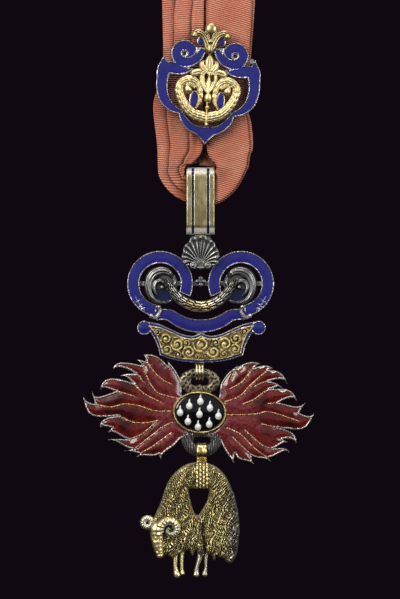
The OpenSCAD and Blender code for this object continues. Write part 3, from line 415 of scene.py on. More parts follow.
def keeper_outline(x, z):
    """Depth inside the whole plate: the cells, the bar between the discs and the knob on the right arm."""
    depth = np.maximum.reduce([keeper_cell_depth(x, z)] + [stroke(x, z, run)[0] for run in bar_runs])
    return np.maximum(depth, ellipse(x, z, *KEEPER_KNOB))


def keeper_enamel_depth(x, z, depth=None):
    """Millimetres inside the glass: in from the outline by a rim, and away from the roll and the eyes' rims."""
    glass = keeper_cell_depth(x, z) - RIM
    for run in roll_runs:
        glass = np.minimum(glass, -stroke(x, z, run)[0])
    return np.minimum(glass, -ellipse(np.abs(x), z, *disc_at, EYE_RIM_R))


def keeper_rise(x, z, depth):
    """Cells with rims, and the knob a little over them."""
    return KEEPER_FACE + celled(keeper_enamel_depth(x, z)) + 0.3 * (ellipse(x, z, *KEEPER_KNOB) > 0)


keeper = relief("keeper_plate", (-11.8, -13, 11.8, 10.4), 0.11, keeper_outline, keeper_rise, KEEPER_BACK,
                {"enamel": keeper_enamel_depth}, KEEPER_AT, KEEPER_LEAN)
keeper.data.materials.append(enamelled("keeper_enamel_work", SILVER, SILVER_DULL, SILVER_SHADE, NAVY, NAVY_DEEP))
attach(keeper, "neck_hanger")
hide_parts("keeper_enamel")
# The plate's body and the loop behind it stay as the CAD has them
keeper_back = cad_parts["keeper_frame"]
keeper_back.data.materials.clear()
keeper_back.data.materials.append(metal("keeper_silver", SILVER, SILVER_DULL, SILVER_SHADE))

# The gilt scrolls: [across, up, breadth] in millimetres, with how many chased grooves run along each
GILT_SEAT, GILT_THICK, LEAF_PITCH = KEEPER_FACE + 0.05, 0.95, 1.15
gilt_rows = [
    (3, [[-2.35, -4.75, 0.4], [-1.7, -3.5, 0.9], [-1.55, -1.8, 1.2], [-1.95, -0.1, 1.5], [-3.0, 1.1, 1.8],
         [-4.5, 1.35, 1.9], [-6.0, 0.35, 1.9], [-6.2, -1.35, 1.9], [-5.1, -3.8, 2.0], [-3.1, -5.9, 2.2],
         [0, -6.8, 2.4]]),
    (1, [[-3.0, -0.2, 0.9], [-3.9, 0.35, 1.0], [-4.55, 0.1, 0.9], [-4.7, -0.6, 0.8]]),
]
leaf_rows = [
    (1, [[0.1, 3.6, 0.9], [0.1, 4.8, 1.9], [0.1, 5.8, 1.6], [0.1, 6.8, 0.4]]),
    (1, [[-0.4, 3.0, 1.0], [-1.3, 4.1, 1.6], [-1.6, 5.0, 1.1], [-1.2, 5.6, 0.4]]),
    (1, [[-0.9, 2.6, 1.2], [-2.0, 3.1, 1.5], [-2.8, 2.9, 1.7], [-3.3, 2.8, 1.5]]),
    (1, [[-0.1, -1.3, 0.5], [-0.8, -0.2, 1.2], [-1.3, 1.2, 1.3], [-1.3, 2.6, 1.3], [-0.5, 3.4, 1.0]]),
]
middle_rows = [
    (1, [[0, -1.0, 0.5], [0.02, 0.6, 1.3], [0.15, 2.2, 0.6], [0.1, 3.7, 1.3]]),
    (0, [[0, -0.9, 0.45], [0, -8.6, 0.45]]),
]
gilt_knobs = [(0.15, -2.45, 0.85, 1.25), (0.1, -4.5, 0.55, 0.45), (0.1, -8.3, 0.5, 0.5), (-4.25, -0.85, 0.85, 0.85),
              (4.25, -0.85, 0.85, 0.85)]
scroll_runs = [(n, side) for n, rows in gilt_rows + leaf_rows for side in both(curve(rows))]
scroll_runs += [(n, curve(rows)) for n, rows in middle_rows]


def chased_outline(runs, knobs, holes=()):
    """The depth inside any of the runs or knobs, less the holes."""
    def inside(x, z):
        depth = np.maximum.reduce([stroke(x, z, run)[0] for _, run in runs] + [ellipse(x, z, *k) for k in knobs])
        for hole in holes:
            depth = np.minimum(depth, -ellipse(x, z, *hole))
        return depth
    return inside


def chased_rise(runs, knobs, seat, thick, groove=0.16, wall=0.35):
    """Each run stands half-round, cut with its own number of V grooves, and notched slantwise into leaves where
    there are three or more; where runs cross, the higher one shows."""
    def rise(x, z, depth):
        top = np.full(x.shape, seat + wall * thick)
        for grooves, run in runs:
            inside, across, along = stroke(x, z, run)
            cut = np.abs(np.sin(math.pi * (across + 1) / 2 * (grooves + 1))) if grooves else 1
            if grooves > 2:
                cut = cut * (0.45 + 0.55 * np.abs(np.sin(math.pi * (along + 0.45 * np.abs(across)) / LEAF_PITCH)))
            height = seat + thick * (wall + (1 - wall) * rounded(across)) - groove * (1 - cut) * (inside > 0.12)
            top = np.where(inside > 0, np.maximum(top, height), top)
        for cx, cz, rx, rz in knobs:
            share = 1 - np.hypot((x - cx) / rx, (z - cz) / rz)
            top = np.where(share > 0, np.maximum(top, seat + thick * (wall + 0.85 * rounded(1 - share))), top)
        return top
    return rise


eyelets = [(-0.55, 2.3, 0.34, 0.75), (0.9, 1.95, 0.38, 0.85)]
scrolls = relief(
    "keeper_gilt_scrolls", (-7.4, -9.2, 7.4, 7.2), 0.085, chased_outline(scroll_runs, gilt_knobs, eyelets),
    chased_rise(scroll_runs, gilt_knobs, GILT_SEAT, GILT_THICK), GILT_SEAT, (), KEEPER_AT, KEEPER_LEAN)
scrolls.data.materials.append(metal("gilt", GILT, GILT_DULL, GILT_SHADE, rough=0.36, shade_strength=1.3))
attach(scrolls, "neck_hanger")
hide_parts("keeper_scrolls")

# THE KEEPER'S CREST AND PATCHES. Four acanthus leaves and an oval bud stand over the discs, gilt and chased,
# and small navy patches fill the gaps between them and the eyes of the lower scrolls.
crest_leaves = [
    (2, [[-0.1, 7.6, 1.0], [-0.5, 8.9, 1.8], [-1.0, 10.2, 1.6], [-1.8, 11.3, 1.5], [-2.9, 11.75, 1.6],
         [-3.8, 11.1, 1.4]]),
    (1, [[-0.3, 10.2, 0.7], [-0.55, 11.2, 0.8], [-1.2, 11.9, 0.6]]),
]
crest_knobs = [(0, 12.6, 1.35, 1.45), (-3.6, 11.1, 0.75, 0.7), (3.6, 11.1, 0.75, 0.7), (0, 8.2, 0.75, 1.3),
               (0, 9.9, 0.8, 0.6)]
crest_runs = [(n, side) for n, rows in crest_leaves for side in both(curve(rows))]
crest = relief(
    "keeper_crest_leaves", (-4.6, 6.6, 4.6, 14.6), 0.08, chased_outline(crest_runs, crest_knobs),
    chased_rise(crest_runs, crest_knobs, GILT_SEAT, GILT_THICK, 0.2), GILT_SEAT, (), KEEPER_AT, KEEPER_LEAN)
crest.data.materials.append(metal("gilt_soft", GILT_DULL, (0.42, 0.33, 0.16), GILT_SHADE, rough=0.32, shade_strength=1.4))
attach(crest, "neck_hanger")
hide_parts("keeper_crest")

PATCH_SEAT, PATCH_RISE = KEEPER_FACE - 0.25, 0.5
patch_ovals = [(-2.9, -2.9, 1.0, 1.9), (2.9, -2.9, 0.9, 1.9), (-2.15, 9.9, 0.8, 1.0), (2.4, 9.95, 0.85, 1.05),
               (0, 11.15, 0.65, 0.55)]


def patch_depth(x, z):
    """The depth inside the nearest of the ovals."""
    return np.maximum.reduce([ellipse(x, z, *oval) for oval in patch_ovals])


patches = relief(
    "keeper_patches", (-4.2, -5, 4.2, 11.9), 0.1, patch_depth,
    lambda x, z, depth: PATCH_SEAT + PATCH_RISE + 0.15 * (1 - np.exp(-depth / 0.3)), PATCH_SEAT,
    {"enamel": lambda x, z, depth: patch_depth(x, z) - 0.1}, KEEPER_AT, KEEPER_LEAN)
patches.data.materials.append(enamelled("patch_enamel", GILT, GILT_DULL, GILT_SHADE, NAVY, NAVY_DEEP))
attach(patches, "neck_hanger")
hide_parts("keeper_drops")

# THE BAIL. A strap of gold bent into a flattened loop and soldered shut behind, which grips the ribbon's fold.
# Two grooves along its face are filled with navy enamel. Its lug turns on a silver pin behind the shell.
BAIL_TOP, BAIL_HALF_W, BAIL_H, BAIL_D, BAIL_WALL = -106.0, 3.1, 15.0, 4.4, 0.8
BAIL_EDGE, BAIL_DIP, LINE_AT, LINE_W, LINE_SUNK = 0.25, 0.10, 1.674, 0.56, 0.06
FACE_POINTS, TURN_POINTS, SIDE_POINTS = 61, 25, 29
# How far in from the loop's two ends the strap begins to be flattened and to carry a painted highlight, and where it
# is fully so
FLAT_HIGHLIGHT_FROM, FLAT_HIGHLIGHT_FULL = 1.9, 1.3
PIN_Z, PIN_R, PIN_HALF, LUG_R, LUG_HALF, EAR_R, EAR_T, LUG_GAP = -122.05, 0.45, 2.35, 1.0, 1.2, 0.95, 0.8, 0.15
# The third colour is the painted shade laid in the strap's recesses
PALE_GOLD, PALE_DULL, PALE_SHADE = (1.0, 0.87, 0.48), (0.33, 0.26, 0.10), (0.035, 0.026, 0.015)


def lattice(points, loop_u=False, loop_v=False):
    """Quads between neighbours of a grid of points, wrapping round where a direction is a loop."""
    u, v = points.shape[:2]
    number = np.arange(u * v).reshape(u, v)
    across = np.concatenate([number, number[:1]]) if loop_u else number
    across = np.concatenate([across, across[:, :1]], 1) if loop_v else across
    quads = np.stack([across[:-1, :-1], across[1:, :-1], across[1:, 1:], across[:-1, 1:]], -1).reshape(-1, 4)
    return points.reshape(-1, 3), quads


def solid(name, parts, marks=(), crease=40):
    """One piece from several lattices."""
    starts = np.cumsum([0] + [len(points) for points, _ in parts])
    points = np.concatenate([points for points, _ in parts])
    quads = np.concatenate([quads + start for start, (_, quads) in zip(starts, parts)])
    return cast(name, points, quads, dict(marks), crease)


def turned(profile, centre, sides=40):
    """A shape turned about the across axis: each [x, radius] of the profile becomes a ring, and the ends close. The
    rings run from the front down and round, so that the faces point outwards."""
    profile = np.array([[profile[0][0], 1e-3], *profile, [profile[-1][0], 1e-3]])
    angle = np.linspace(0, 2 * math.pi, sides, endpoint=False)
    x, r = profile[:, :1] + 0 * angle, profile[:, 1:]
    rings = np.stack([centre[0] + x, centre[1] + r * np.cos(angle), centre[2] - r * np.sin(angle)], -1)
    return lattice(rings, loop_v=True)


def barrel(half, r, bevel=0.12):
    """The outline of a short bar with its two ends bevelled."""
    return [[-half, r - bevel], [-half + bevel, r], [half - bevel, r], [half, r - bevel]]


# The strap's section runs round its outer face, over a rounded edge, and back along its inner face
edge = np.linspace(0, math.pi / 2, 5)
flat_half = BAIL_HALF_W - BAIL_EDGE
face_x = np.concatenate([np.linspace(-flat_half, flat_half, FACE_POINTS), flat_half + BAIL_EDGE * np.sin(edge[1:]),
                         [BAIL_HALF_W, -BAIL_HALF_W], -flat_half - BAIL_EDGE * np.cos(edge[:-1])])
face_out = np.concatenate([np.zeros(FACE_POINTS), -BAIL_EDGE * (1 - np.cos(edge[1:])), [-BAIL_WALL, -BAIL_WALL],
                           -BAIL_EDGE * (1 - np.sin(edge[:-1]))])
line_depth = LINE_W / 2 - np.abs(np.abs(face_x) - LINE_AT)
on_face = face_out > -0.01
groove = LINE_SUNK * soft_step(line_depth, -0.05, 0.05) * on_face
# The loop's centre line, half a circle at each end, as places and outward directions in the up-and-depth plane
half_turn = np.linspace(0, math.pi, TURN_POINTS)
run = np.linspace(0, 1, SIDE_POINTS + 2)[1:-1, None]
radius = BAIL_D / 2
top_mid, low_mid = -radius, -BAIL_H + radius
half_out = np.concatenate([np.stack([-np.cos(half_turn), np.sin(half_turn)], 1),
                           np.tile([1.0, 0.0], (SIDE_POINTS, 1))])
out_dir = np.concatenate([half_out, -half_out])
mid = np.concatenate([np.tile([0, top_mid], (TURN_POINTS, 1)), [0, top_mid] + run * [0, low_mid - top_mid],
                      np.tile([0, low_mid], (TURN_POINTS, 1)), [0, low_mid] + run * [0, top_mid - low_mid]])
from_middle = np.abs(mid[:, 1] + out_dir[:, 1] * radius + BAIL_H / 2)
# Near its two ends the strap is pressed flat, and the mark rubbed carries a painted near-white highlight there
rubbed = soft_step(from_middle, BAIL_H / 2 - FLAT_HIGHLIGHT_FROM, BAIL_H / 2 - FLAT_HIGHLIGHT_FULL)[:, None]
lined = np.abs(out_dir[:, :1]) > 0.3
reach = radius - BAIL_DIP * rubbed + face_out[None, :] - groove[None, :] * lined
strap = np.stack([np.broadcast_to(face_x, reach.shape), FRONT_Y / MM + mid[:, :1] + out_dir[:, :1] * reach,
                  BAIL_TOP + mid[:, 1:] + out_dir[:, 1:] * reach], -1)
in_line = np.where(lined & on_face[None, :], line_depth[None, :], -1.0)
strap_points, inward_quads = lattice(strap, loop_u=True, loop_v=True)
strap_quads = inward_quads[:, ::-1]
lug_points, lug_quads = turned(barrel(LUG_HALF, LUG_R), (0, FRONT_Y / MM, PIN_Z))
neck_points, neck_quads = turned([[-LUG_HALF, 0.5], [LUG_HALF, 0.5]], (0, FRONT_Y / MM, PIN_Z + 0.9), 12)
bare = len(lug_points) + len(neck_points)
bail = solid("bail", [(strap_points, strap_quads), (lug_points, lug_quads), (neck_points, neck_quads)],
             {"enamel": np.concatenate([in_line.ravel(), np.full(bare, -1.0)]),
              "rubbed": np.concatenate([np.broadcast_to(rubbed, reach.shape).ravel(), np.zeros(bare)])})
bail_gold = Finish("bail_gold", Coat_Roughness=0.06)
gold, strap_rough, _ = worn_and_shaded_metal(bail_gold, PALE_GOLD, PALE_DULL, PALE_SHADE, 0.3, 1.4, 0.8)
streak = bail_gold.noise(1.3, 4.0, stretch=(1, 1, 0.35)).step(0.38, 0.6)
# Painted highlight: the strap's two ends are painted near-white and made less metallic
ends = bail_gold.mark("rubbed")
line = bail_gold.mark("enamel").step(-0.03, 0.03)
strap_gold = bail_gold.mix(ends * 0.9, bail_gold.mix(streak * 0.65, gold, PALE_DULL), (1.0, 0.96, 0.84))
bail.data.materials.append(bail_gold.feed(
    Base_Color=bail_gold.mix(line, strap_gold, (0.014, 0.011, 0.06)), Metallic=(1 - line) * (1 - ends * 0.8),
    Roughness=strap_rough * (1 - line) + line * 0.16, Coat_Weight=line * 0.7))
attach(bail, "neck_hanger")
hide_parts("bail", "bail_enamel")

ear_mid = LUG_HALF + LUG_GAP + EAR_T / 2
pin_profile = [[-PIN_HALF, 0.3], [0.1 - PIN_HALF, PIN_R], [PIN_HALF - 0.1, PIN_R], [PIN_HALF, 0.3]]
pin = solid("hinge_pin", [turned(pin_profile, (0, FRONT_Y / MM, PIN_Z))])
pin.data.materials.append(metal("pin_silver", SILVER, SILVER_DULL, SILVER_SHADE, rough=0.3))
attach(pin, "frame")
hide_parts("hinge_pin")

# THE RIBBON. One loop of ribbed coral silk, folded lengthwise into a thick strip. It goes through the bail, spreads
# into two soft lobes, is gathered by the keeper and runs up and round the neck.
RIBBON_W, FOLD_H, HANG_H = 9.8, 7.6, 46
NECK_HALF_W, NECK_HALF_D, NECK_RISE, NECK_STEPS = 60, 64, 60, 44
LOBE_FULL, SILK_T, RIB_PITCH, STEPS = 0.8, 0.16, 0.47, 9
HUB_Z, SECTION_HALF, FOLD_HALF = KEEPER_AT[1] + 1, 4.6, 4.5
# Stations over which the silk comes free of the bail's hollow, and those over which each end takes the shared section
FREE_FROM, FREE_TO, SHARED_BAIL, SHARED_NAPE = 12, 18, 8, 30
# Heights between which the left run bulges to the right, and between which both runs ripple more
BULGE, RIPPLED = (-96, -84, -74, -68), (-84, -78, -60, -50)
HOLLOW = BAIL_D / 2 - BAIL_WALL - 0.12
# Columns: outer across, outer height, inner across, inner height, fullness, reach of the rear layers past the inner
# edge. Across and reach in shares of the strip's width, heights in shares of the lobe below the bail's top and of
# the hanging length above it
right_run = [
    (0, -1, 0, -0.15, 0, 0), (0.33, -1.06, 0.31, -0.14, 0.15, 0.1), (0.63, -0.84, 0.33, -0.12, 0.5, 0.3),
    (0.86, -0.5, 0.36, -0.04, 0.8, 0.38), (1.06, 0, 0.34, 0.01, 1, 0.36), (1.15, 0.09, 0.17, 0.06, 0.9, 0.22),
    (1.12, 0.2, 0.12, 0.17, 0.7, 0.05), (1.02, 0.31, 0.12, 0.3, 0.3, 0), (1.1, 0.5, 0.12, 0.5, 0, 0),
    (1.2, 0.8, 0.12, 0.8, 0, 0), (1.2, 1, 0.12, 1, 0, 0)]
left_run = [
    (0, -1, 0, -0.15, 0, 0), (0.34, -0.97, 0.33, -0.23, 0.1, 0.1), (0.68, -0.7, 0.36, -0.13, 0.45, 0.25),
    (0.9, -0.3, 0.33, 0.005, 0.8, 0.22), (0.94, 0.03, 0.17, 0.02, 1, 0.1), (0.96, 0.12, -0.05, 0.08, 0.9, 0),
    (1.04, 0.28, -0.09, 0.22, 0.7, 0), (0.97, 0.36, -0.09, 0.33, 0.3, 0), (0.83, 0.45, -0.09, 0.42, 0.1, 0),
    (0.82, 0.55, -0.09, 0.55, 0, 0), (0.84, 0.8, -0.09, 0.8, 0, 0), (0.82, 1, -0.09, 1, 0, 0)]
# Where the cloth turns back on itself, from its front edge to its rear one, as shares across; and each layer's depth
left_turns = (-0.98, -0.5, -0.88, 0.36, -0.3, 1.0, -1.0, 0.3)
right_turns = (-1.0, 0.87, -0.1, 1.0, -0.4, 0.8, -1.0, 0.1)
left_layers = (0.92, 0.62, 0.32, 0.02, -0.26, -0.54, -0.82)
right_layers = (0.86, 0.58, 0.30, 0.02, -0.26, -0.54, -0.82)


def folded(turns, layers):
    """The strip's section: [share across, depth, 1 on rear layers near the inner edge], with half-round folds."""
    points = []
    for i, depth in enumerate(layers):
        a, b = turns[i], turns[i + 1]
        rear = float(i >= len(layers) - 2)
        points += [(a + (b - a) * t, depth + 0.05 * math.sin(9 * t + 2 * i), rear) for t in np.linspace(0, 1, 9)]
        if i + 1 < len(layers):
            gap = (depth - layers[i + 1]) / 2
            away = math.copysign(1, b - a) * gap / FOLD_HALF
            bend = (0.6, 1.2, math.pi / 2, 1.94, 2.54)
            points += [(b + away * math.sin(t), depth - gap * (1 - math.cos(t)), rear) for t in bend]
    return np.array(points)


def run_stations(rows, side):
    """Middle, half-width vector, outward direction and rear reach at each place along a run."""
    y = FRONT_Y / MM - LOBE_FULL * rows[:, 4]
    outer, inner = (np.stack([side * rows[:, i] * RIBBON_W, y,
                              BAIL_TOP + np.where(rows[:, i + 1] < 0, FOLD_H, HANG_H) * rows[:, i + 1]], 1)
                    for i in (0, 2))
    ahead = np.tile([0.0, -1.0, 0.0], (len(rows), 1))
    return (outer + inner) / 2, (outer - inner) / 2, ahead, rows[:, 5] * RIBBON_W


def between(value, start, full, ease, end):
    """1 from full to ease, falling off in even S curves to 0 at start and end."""
    return soft_step(value, start, full) * (1 - soft_step(value, ease, end))


def unit(vectors):
    """Each row over its own length."""
    return vectors / np.linalg.norm(vectors, axis=1, keepdims=True)


def neck_stations(row, side):
    """The same round the neck: a level ellipse that climbs steeply at first and lies flat at the nape."""
    half = (row[0] - row[2]) / 2 * RIBBON_W
    start = math.asin((row[0] + row[2]) / 2 * RIBBON_W / NECK_HALF_W)

    def place(t):
        """The point at a share of the way round; its height is the quarter circle of that share."""
        a = start + (math.pi - start) * t
        level = -NECK_RISE + NECK_RISE * np.sqrt(1 - (1 - t) ** 2)
        return np.stack([NECK_HALF_W * np.sin(a), -NECK_HALF_D * (1 + np.cos(a)), level], 1)

    t = 1 - np.cos(np.pi / 2 * np.arange(1, NECK_STEPS + 1) / NECK_STEPS)
    along = unit(place(np.minimum(t + 0.002, 1)) - place(np.maximum(t - 0.002, 0)))
    a = start + (math.pi - start) * t
    out = unit(np.stack([np.sin(a) / NECK_HALF_W, -np.cos(a) / NECK_HALF_D, 0 * a], 1))
    width = unit(np.cross(along, out))
    flip = np.array([side, 1, 1])
    return (place(t) + out * 0.9) * flip, half * width * flip, out * flip, np.zeros(len(t))


def pressed(points):
    """Near the bail the silk is pressed into its hollow: its distance from the loop's middle line is held under the
    hollow's half depth, a limit that eases off beside the strap and over the next stations."""
    depth, high = FRONT_Y / MM - points[..., 1:2], points[..., 2:] - BAIL_TOP
    level = np.clip(high, -BAIL_H + BAIL_D / 2, -BAIL_D / 2)
    away = np.hypot(depth, high - level)
    limit = HOLLOW + 3 * soft_step(np.abs(points[..., :1]), BAIL_HALF_W + 0.1, BAIL_HALF_W + 2.4)
    hold = 1 - soft_step(np.arange(len(points)), FREE_FROM, FREE_TO)[:, None, None]
    share = 1 - hold * (1 - np.minimum(1, limit / np.maximum(away, 1e-6)))
    middle = np.concatenate([points[..., :1], FRONT_Y / MM + 0 * depth, BAIL_TOP + level], -1)
    return middle + (points - middle) * share


def run_points(rows, section, shared, side):
    """The folded section at every station of a run, changing to the shared one in the bail and at the nape; and each
    point's length along the run, slanted a little across the strip, which the ribs follow."""
    rows = curve(rows, STEPS)
    parts = [run_stations(rows, side), neck_stations(rows[-1], side)]
    mid, half, out, reach = (np.concatenate([p[i] for p in parts]) for i in range(4))
    station = np.arange(len(mid))
    own = (soft_step(station, 0, SHARED_BAIL) * soft_step(station[::-1], 0, SHARED_NAPE))[:, None, None]
    share, depth, rear = np.moveaxis(section * own + shared * (1 - own), 2, 0)
    along = np.concatenate([[0], np.cumsum(np.linalg.norm(np.diff(mid, axis=0), axis=1))])[:, None]
    breadth = np.linalg.norm(half, axis=1)[:, None]
    wander = share * (1 + 0.04 * np.sin(along / 5.5 + side) * np.sin(3 * share))
    wander = wander - rear * np.clip(-share, 0, 1) * reach[:, None] / breadth
    wander = wander + 0.1 * (1 - share**2) * np.sin(along / 6.0 + 2 * side) * own[:, 0]
    high = mid[:, 2:]
    if side < 0:
        wander = wander + 0.2 * (1 - share**2) * between(high, *BULGE)
    ripple = depth + 0.16 * np.sin(along / 3.1 + 2 * side) * np.sin(2.4 * share + along / 9)
    fullness = np.concatenate([rows[:, 4], np.zeros(NECK_STEPS)])[:, None]
    ripple = ripple * (1 + 0.7 * fullness + 0.7 * between(high, *RIPPLED))
    points = pressed(mid[:, None] + half[:, None] * wander[..., None] + out[:, None] * ripple[..., None])
    phase = along + (0.3 if side > 0 else 0.08) * share * breadth
    # Below the keeper the ribs lie level with a slight fall to the right, whatever way the lobe turns
    under = int(np.argmax(mid[:, 2] > HUB_Z))
    fall = points[:under] - points[under]
    phase[:under] = phase[under] + fall[..., 2] + 0.3 * fall[..., 0]
    return points, phase, along.max()


right_section, left_section = folded(right_turns, right_layers), folded(left_turns, left_layers)
shared_section = (right_section + left_section) / 2
right_points, right_along, half_length = run_points(right_run, right_section, shared_section, 1)
left_points, left_along, left_length = run_points(left_run, left_section, shared_section, -1)
ribbon_points = np.concatenate([right_points, left_points[-2:0:-1]])
ribbon_along = np.concatenate([right_along, half_length + left_length - left_along[-2:0:-1]])
ribbon = solid("silk_ribbon", [lattice(ribbon_points, loop_u=True)], {"along": ribbon_along.ravel()}, crease=180)
stiffen = ribbon.modifiers.new("thickness", "SOLIDIFY")
stiffen.thickness, stiffen.offset = SILK_T * MM, 0

silk = Finish("ribbed_silk", Metallic=0.0)
rib = (silk.mark("along") * (2 * math.pi / RIB_PITCH) + silk.noise(4.0, 2.0) * 2.5).maths("SINE") * 0.5 + 0.5
worn = silk.noise(5.0, 4.0).step(0.35, 0.7)
fleck = silk.noise(0.5, 2.0, stretch=(1, 1, 3))
# Painted shade: near-black red laid where folds, the bail and the keeper stand in the way of light
fold_shade = silk.shelter(4.5, 8).step(0.16, 0.62)
coral = silk.mix(worn * 0.5 + fleck * 0.25, (0.80, 0.235, 0.13), (0.98, 0.46, 0.28))
# Painted shade: the grooves between the ribs are darkened to a dark copy of the coral
ribbed = silk.mix((1 - rib) * 0.75, coral, (0.27, 0.055, 0.03))
ribbon.data.materials.append(silk.feed(
    Base_Color=silk.mix(fold_shade * 0.92, ribbed, (0.06, 0.009, 0.006)), Roughness=worn * 0.1 + 0.5,
    Normal=silk.bump(rib, 0.16, 0.9)))
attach(ribbon, "neck_hanger")
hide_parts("ribbon")
# The silk's whole width is the length of its folded section, at the hanging run's half width. The line below works
# out the loop's length along both runs, in metres, and keeps nothing
float(half_length + left_length) * MM

# THE SHELL. A cast scallop stands over the joint of the two rings: thirteen flutes fan from its foot, each a
# rounded ridge with a scooped end, between two small rolled volutes. The pin's two ears are soldered behind it.
CREST_AT = (0.0, -131.74)
SHELL_FOOT, SHELL_REACH, SHELL_NARROW, FLUTES, FAN = 3.85, 6.9, 9.3 / 8.2, 13, math.radians(80)
SHELL_BACK, SHELL_FACE, VOLUTE_X, VOLUTE_Z, VOLUTE_R = 1.15, 1.75, 1.6, 4.1, 0.8
# The third colour is the painted shade laid in recesses
GREY, GREY_DULL, GREY_SHADE = (0.50, 0.50, 0.49), (0.22, 0.22, 0.21), (0.02, 0.02, 0.02)


def shell_polar(x, z):
    """Distance from the shell's foot as a share of the fan's reach that way, and the fan's angle from -1 to 1. The
    fan is narrowed across, reaches less to its sides, and dips a little between flutes."""
    turn = np.arctan2(x * SHELL_NARROW, z - SHELL_FOOT)
    reach = SHELL_REACH * (1 - 0.33 * np.clip(np.abs(turn) / FAN, 0, 1.3) ** 1.5)
    scallop = 1 - 0.05 * (1 - np.abs(np.cos(math.pi * FLUTES * (turn / FAN + 1) / 4 + math.pi / 2)))
    share = np.hypot(x * SHELL_NARROW, z - SHELL_FOOT) / (reach * scallop)
    return share, turn / FAN


def shell_depth(x, z):
    """Inside the fan out to its scalloped edge, and inside the two volutes and the bar between them at its foot."""
    share, turn = shell_polar(x, z)
    fan = np.minimum((1 - share) * SHELL_REACH * 0.8, (1.06 - np.abs(turn)) * np.hypot(x, z - SHELL_FOOT) * 1.3)
    foot = stroke(x, z, np.array([[-1.7, 3.95, 1.3], [0, 3.55, 0.8], [1.7, 3.95, 1.3]]))[0]
    return np.maximum(fan, foot)


def shell_rise(x, z, depth):
    """Flutes rise straight from the foot and bend outward, in a bowl that lifts to a bead at each one's end."""
    share, turn = shell_polar(x, z)
    root = turn / (0.66 + 0.34 * np.clip(share, 0, 1))
    flute = np.abs(np.cos(math.pi * (FLUTES - 1) * (root + 1) / 2))
    spread = soft_step(share, 0.05, 0.5)
    rise = SHELL_FACE - 0.25 + 0.75 * share**1.5 * (1 - 0.25 * share) + 0.34 * (flute**0.8 - 0.6) * spread
    bead = np.exp(-((share - 0.93) / 0.07) ** 2) * flute**2 * 0.22
    rise = rise + bead - 0.35 * soft_step(share, 0.95, 1.04)
    r = np.hypot(np.abs(x) - VOLUTE_X, z - VOLUTE_Z)
    coil = 0.45 + 0.5 * rounded(r / VOLUTE_R) - 0.15 * np.exp(-(((r - 0.42) / 0.1) ** 2))
    rise = np.where(r < VOLUTE_R, SHELL_FACE + coil, rise)
    foot, across, _ = stroke(x, z, np.array([[-1.3, 3.7, 0.45], [0, 3.5, 0.6], [1.3, 3.7, 0.45]]))
    return np.where(foot > 0, np.maximum(rise, SHELL_FACE + 0.35 * rounded(across)), rise)


shell = relief("shell", (-4.6, 3.0, 4.6, 11), 0.075, shell_depth, shell_rise, SHELL_BACK, (), CREST_AT)
shell.data.materials.append(metal(
    "shell_silver", (0.40, 0.40, 0.385), (0.21, 0.21, 0.20), (0.03, 0.03, 0.028), rough=0.3, shade_strength=1.2, reach=0.6))
ear_parts = []
for side in (-1, 1):
    ear_parts.append(turned(barrel(EAR_T / 2, EAR_R), (side * ear_mid, FRONT_Y / MM, PIN_Z)))
    ear_parts.append(turned([[-EAR_T / 2, 0.55], [EAR_T / 2, 0.55]],
                            (side * ear_mid, FRONT_Y / MM - 0.75, PIN_Z - 1.0), 12))
ears = solid("shell_ears", ear_parts)
ears.data.materials.append(shell.data.materials[0])
for piece in (shell, ears):
    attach(piece, "frame")
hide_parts("shell")

# THE SCROLL FRAME. Two open rings and a banner below them, cut from one silver plate and sunk for navy enamel
# inside raised rims. Silver clasps with ball ends cover the joints. Small sprigs are engraved on the rings.
RING_X, RING_OUT, RING_IN, RING_FROM, RING_TO = 8.9, 7.25, 4.55, math.radians(-23), math.radians(262)
BANNER_HALF, BANNER_DROP = 16.15, 10.7
FRAME_BACK, FRAME_FACE = -0.6, 0.66
ROSY_SILVER = (0.78, 0.72, 0.69)


def right_and_left(side):
    """A whole run of rows from its right half, which starts at the middle."""
    return np.vstack([(side * [-1, 1, 1])[::-1], side[1:]])


banner_side = np.array([[0, -0.864, 0.179], [0.154, -0.841, 0.176], [0.296, -0.757, 0.173], [0.42, -0.645, 0.16],
                        [0.53, -0.626, 0.148], [0.575, -0.636, 0.142]]) * [BANNER_HALF, BANNER_DROP, BANNER_HALF]
banner_run = curve(right_and_left(banner_side))
clasp_run = curve([[9.15, -5.05, 0.75], [8.85, -5.9, 0.8], [9.35, -6.85, 0.8], [10.2, -7.4, 0.7],
                   [10.85, -7.05, 0.6]])
clasp_balls = [(9.15, -5.05, 0.5), (10.9, -7.0, 0.5)]


def ring_depth(x, z):
    """Inside the nearer ring: from its middle circle by less than half its breadth, and within its arc."""
    u = np.abs(x) - RING_X
    r = np.hypot(u, z)
    depth = (RING_OUT - RING_IN) / 2 - np.abs(r - (RING_OUT + RING_IN) / 2)
    # The arc opens towards the middle and below: angles run from the inner side over the top to the foot
    turn = np.mod(np.arctan2(z, -u) - RING_FROM, 2 * math.pi)
    span = RING_TO - RING_FROM
    to_end = np.where(turn < span, np.minimum(turn, span - turn), -np.minimum(turn - span, 2 * math.pi - turn)) * r
    return np.minimum(depth, to_end)


def frame_cells(x, z):
    """Inside a ring or the banner."""
    return np.maximum(ring_depth(x, z), stroke(x, z, banner_run)[0])


def clasp_depth(x, z):
    """Inside a clasp: its bent strip or one of its two balls, alike on both sides."""
    u = np.abs(x)
    return np.maximum.reduce([stroke(u, z, clasp_run)[0]] + [ellipse(u, z, *ball) for ball in clasp_balls])


# Sprigs: a curved stem and five short leaves, engraved on the outer feet of the rings
stem_row = [[12.3, -5.9, 0.14], [13.6, -4.3, 0.2], [14.4, -2.6, 0.06]]
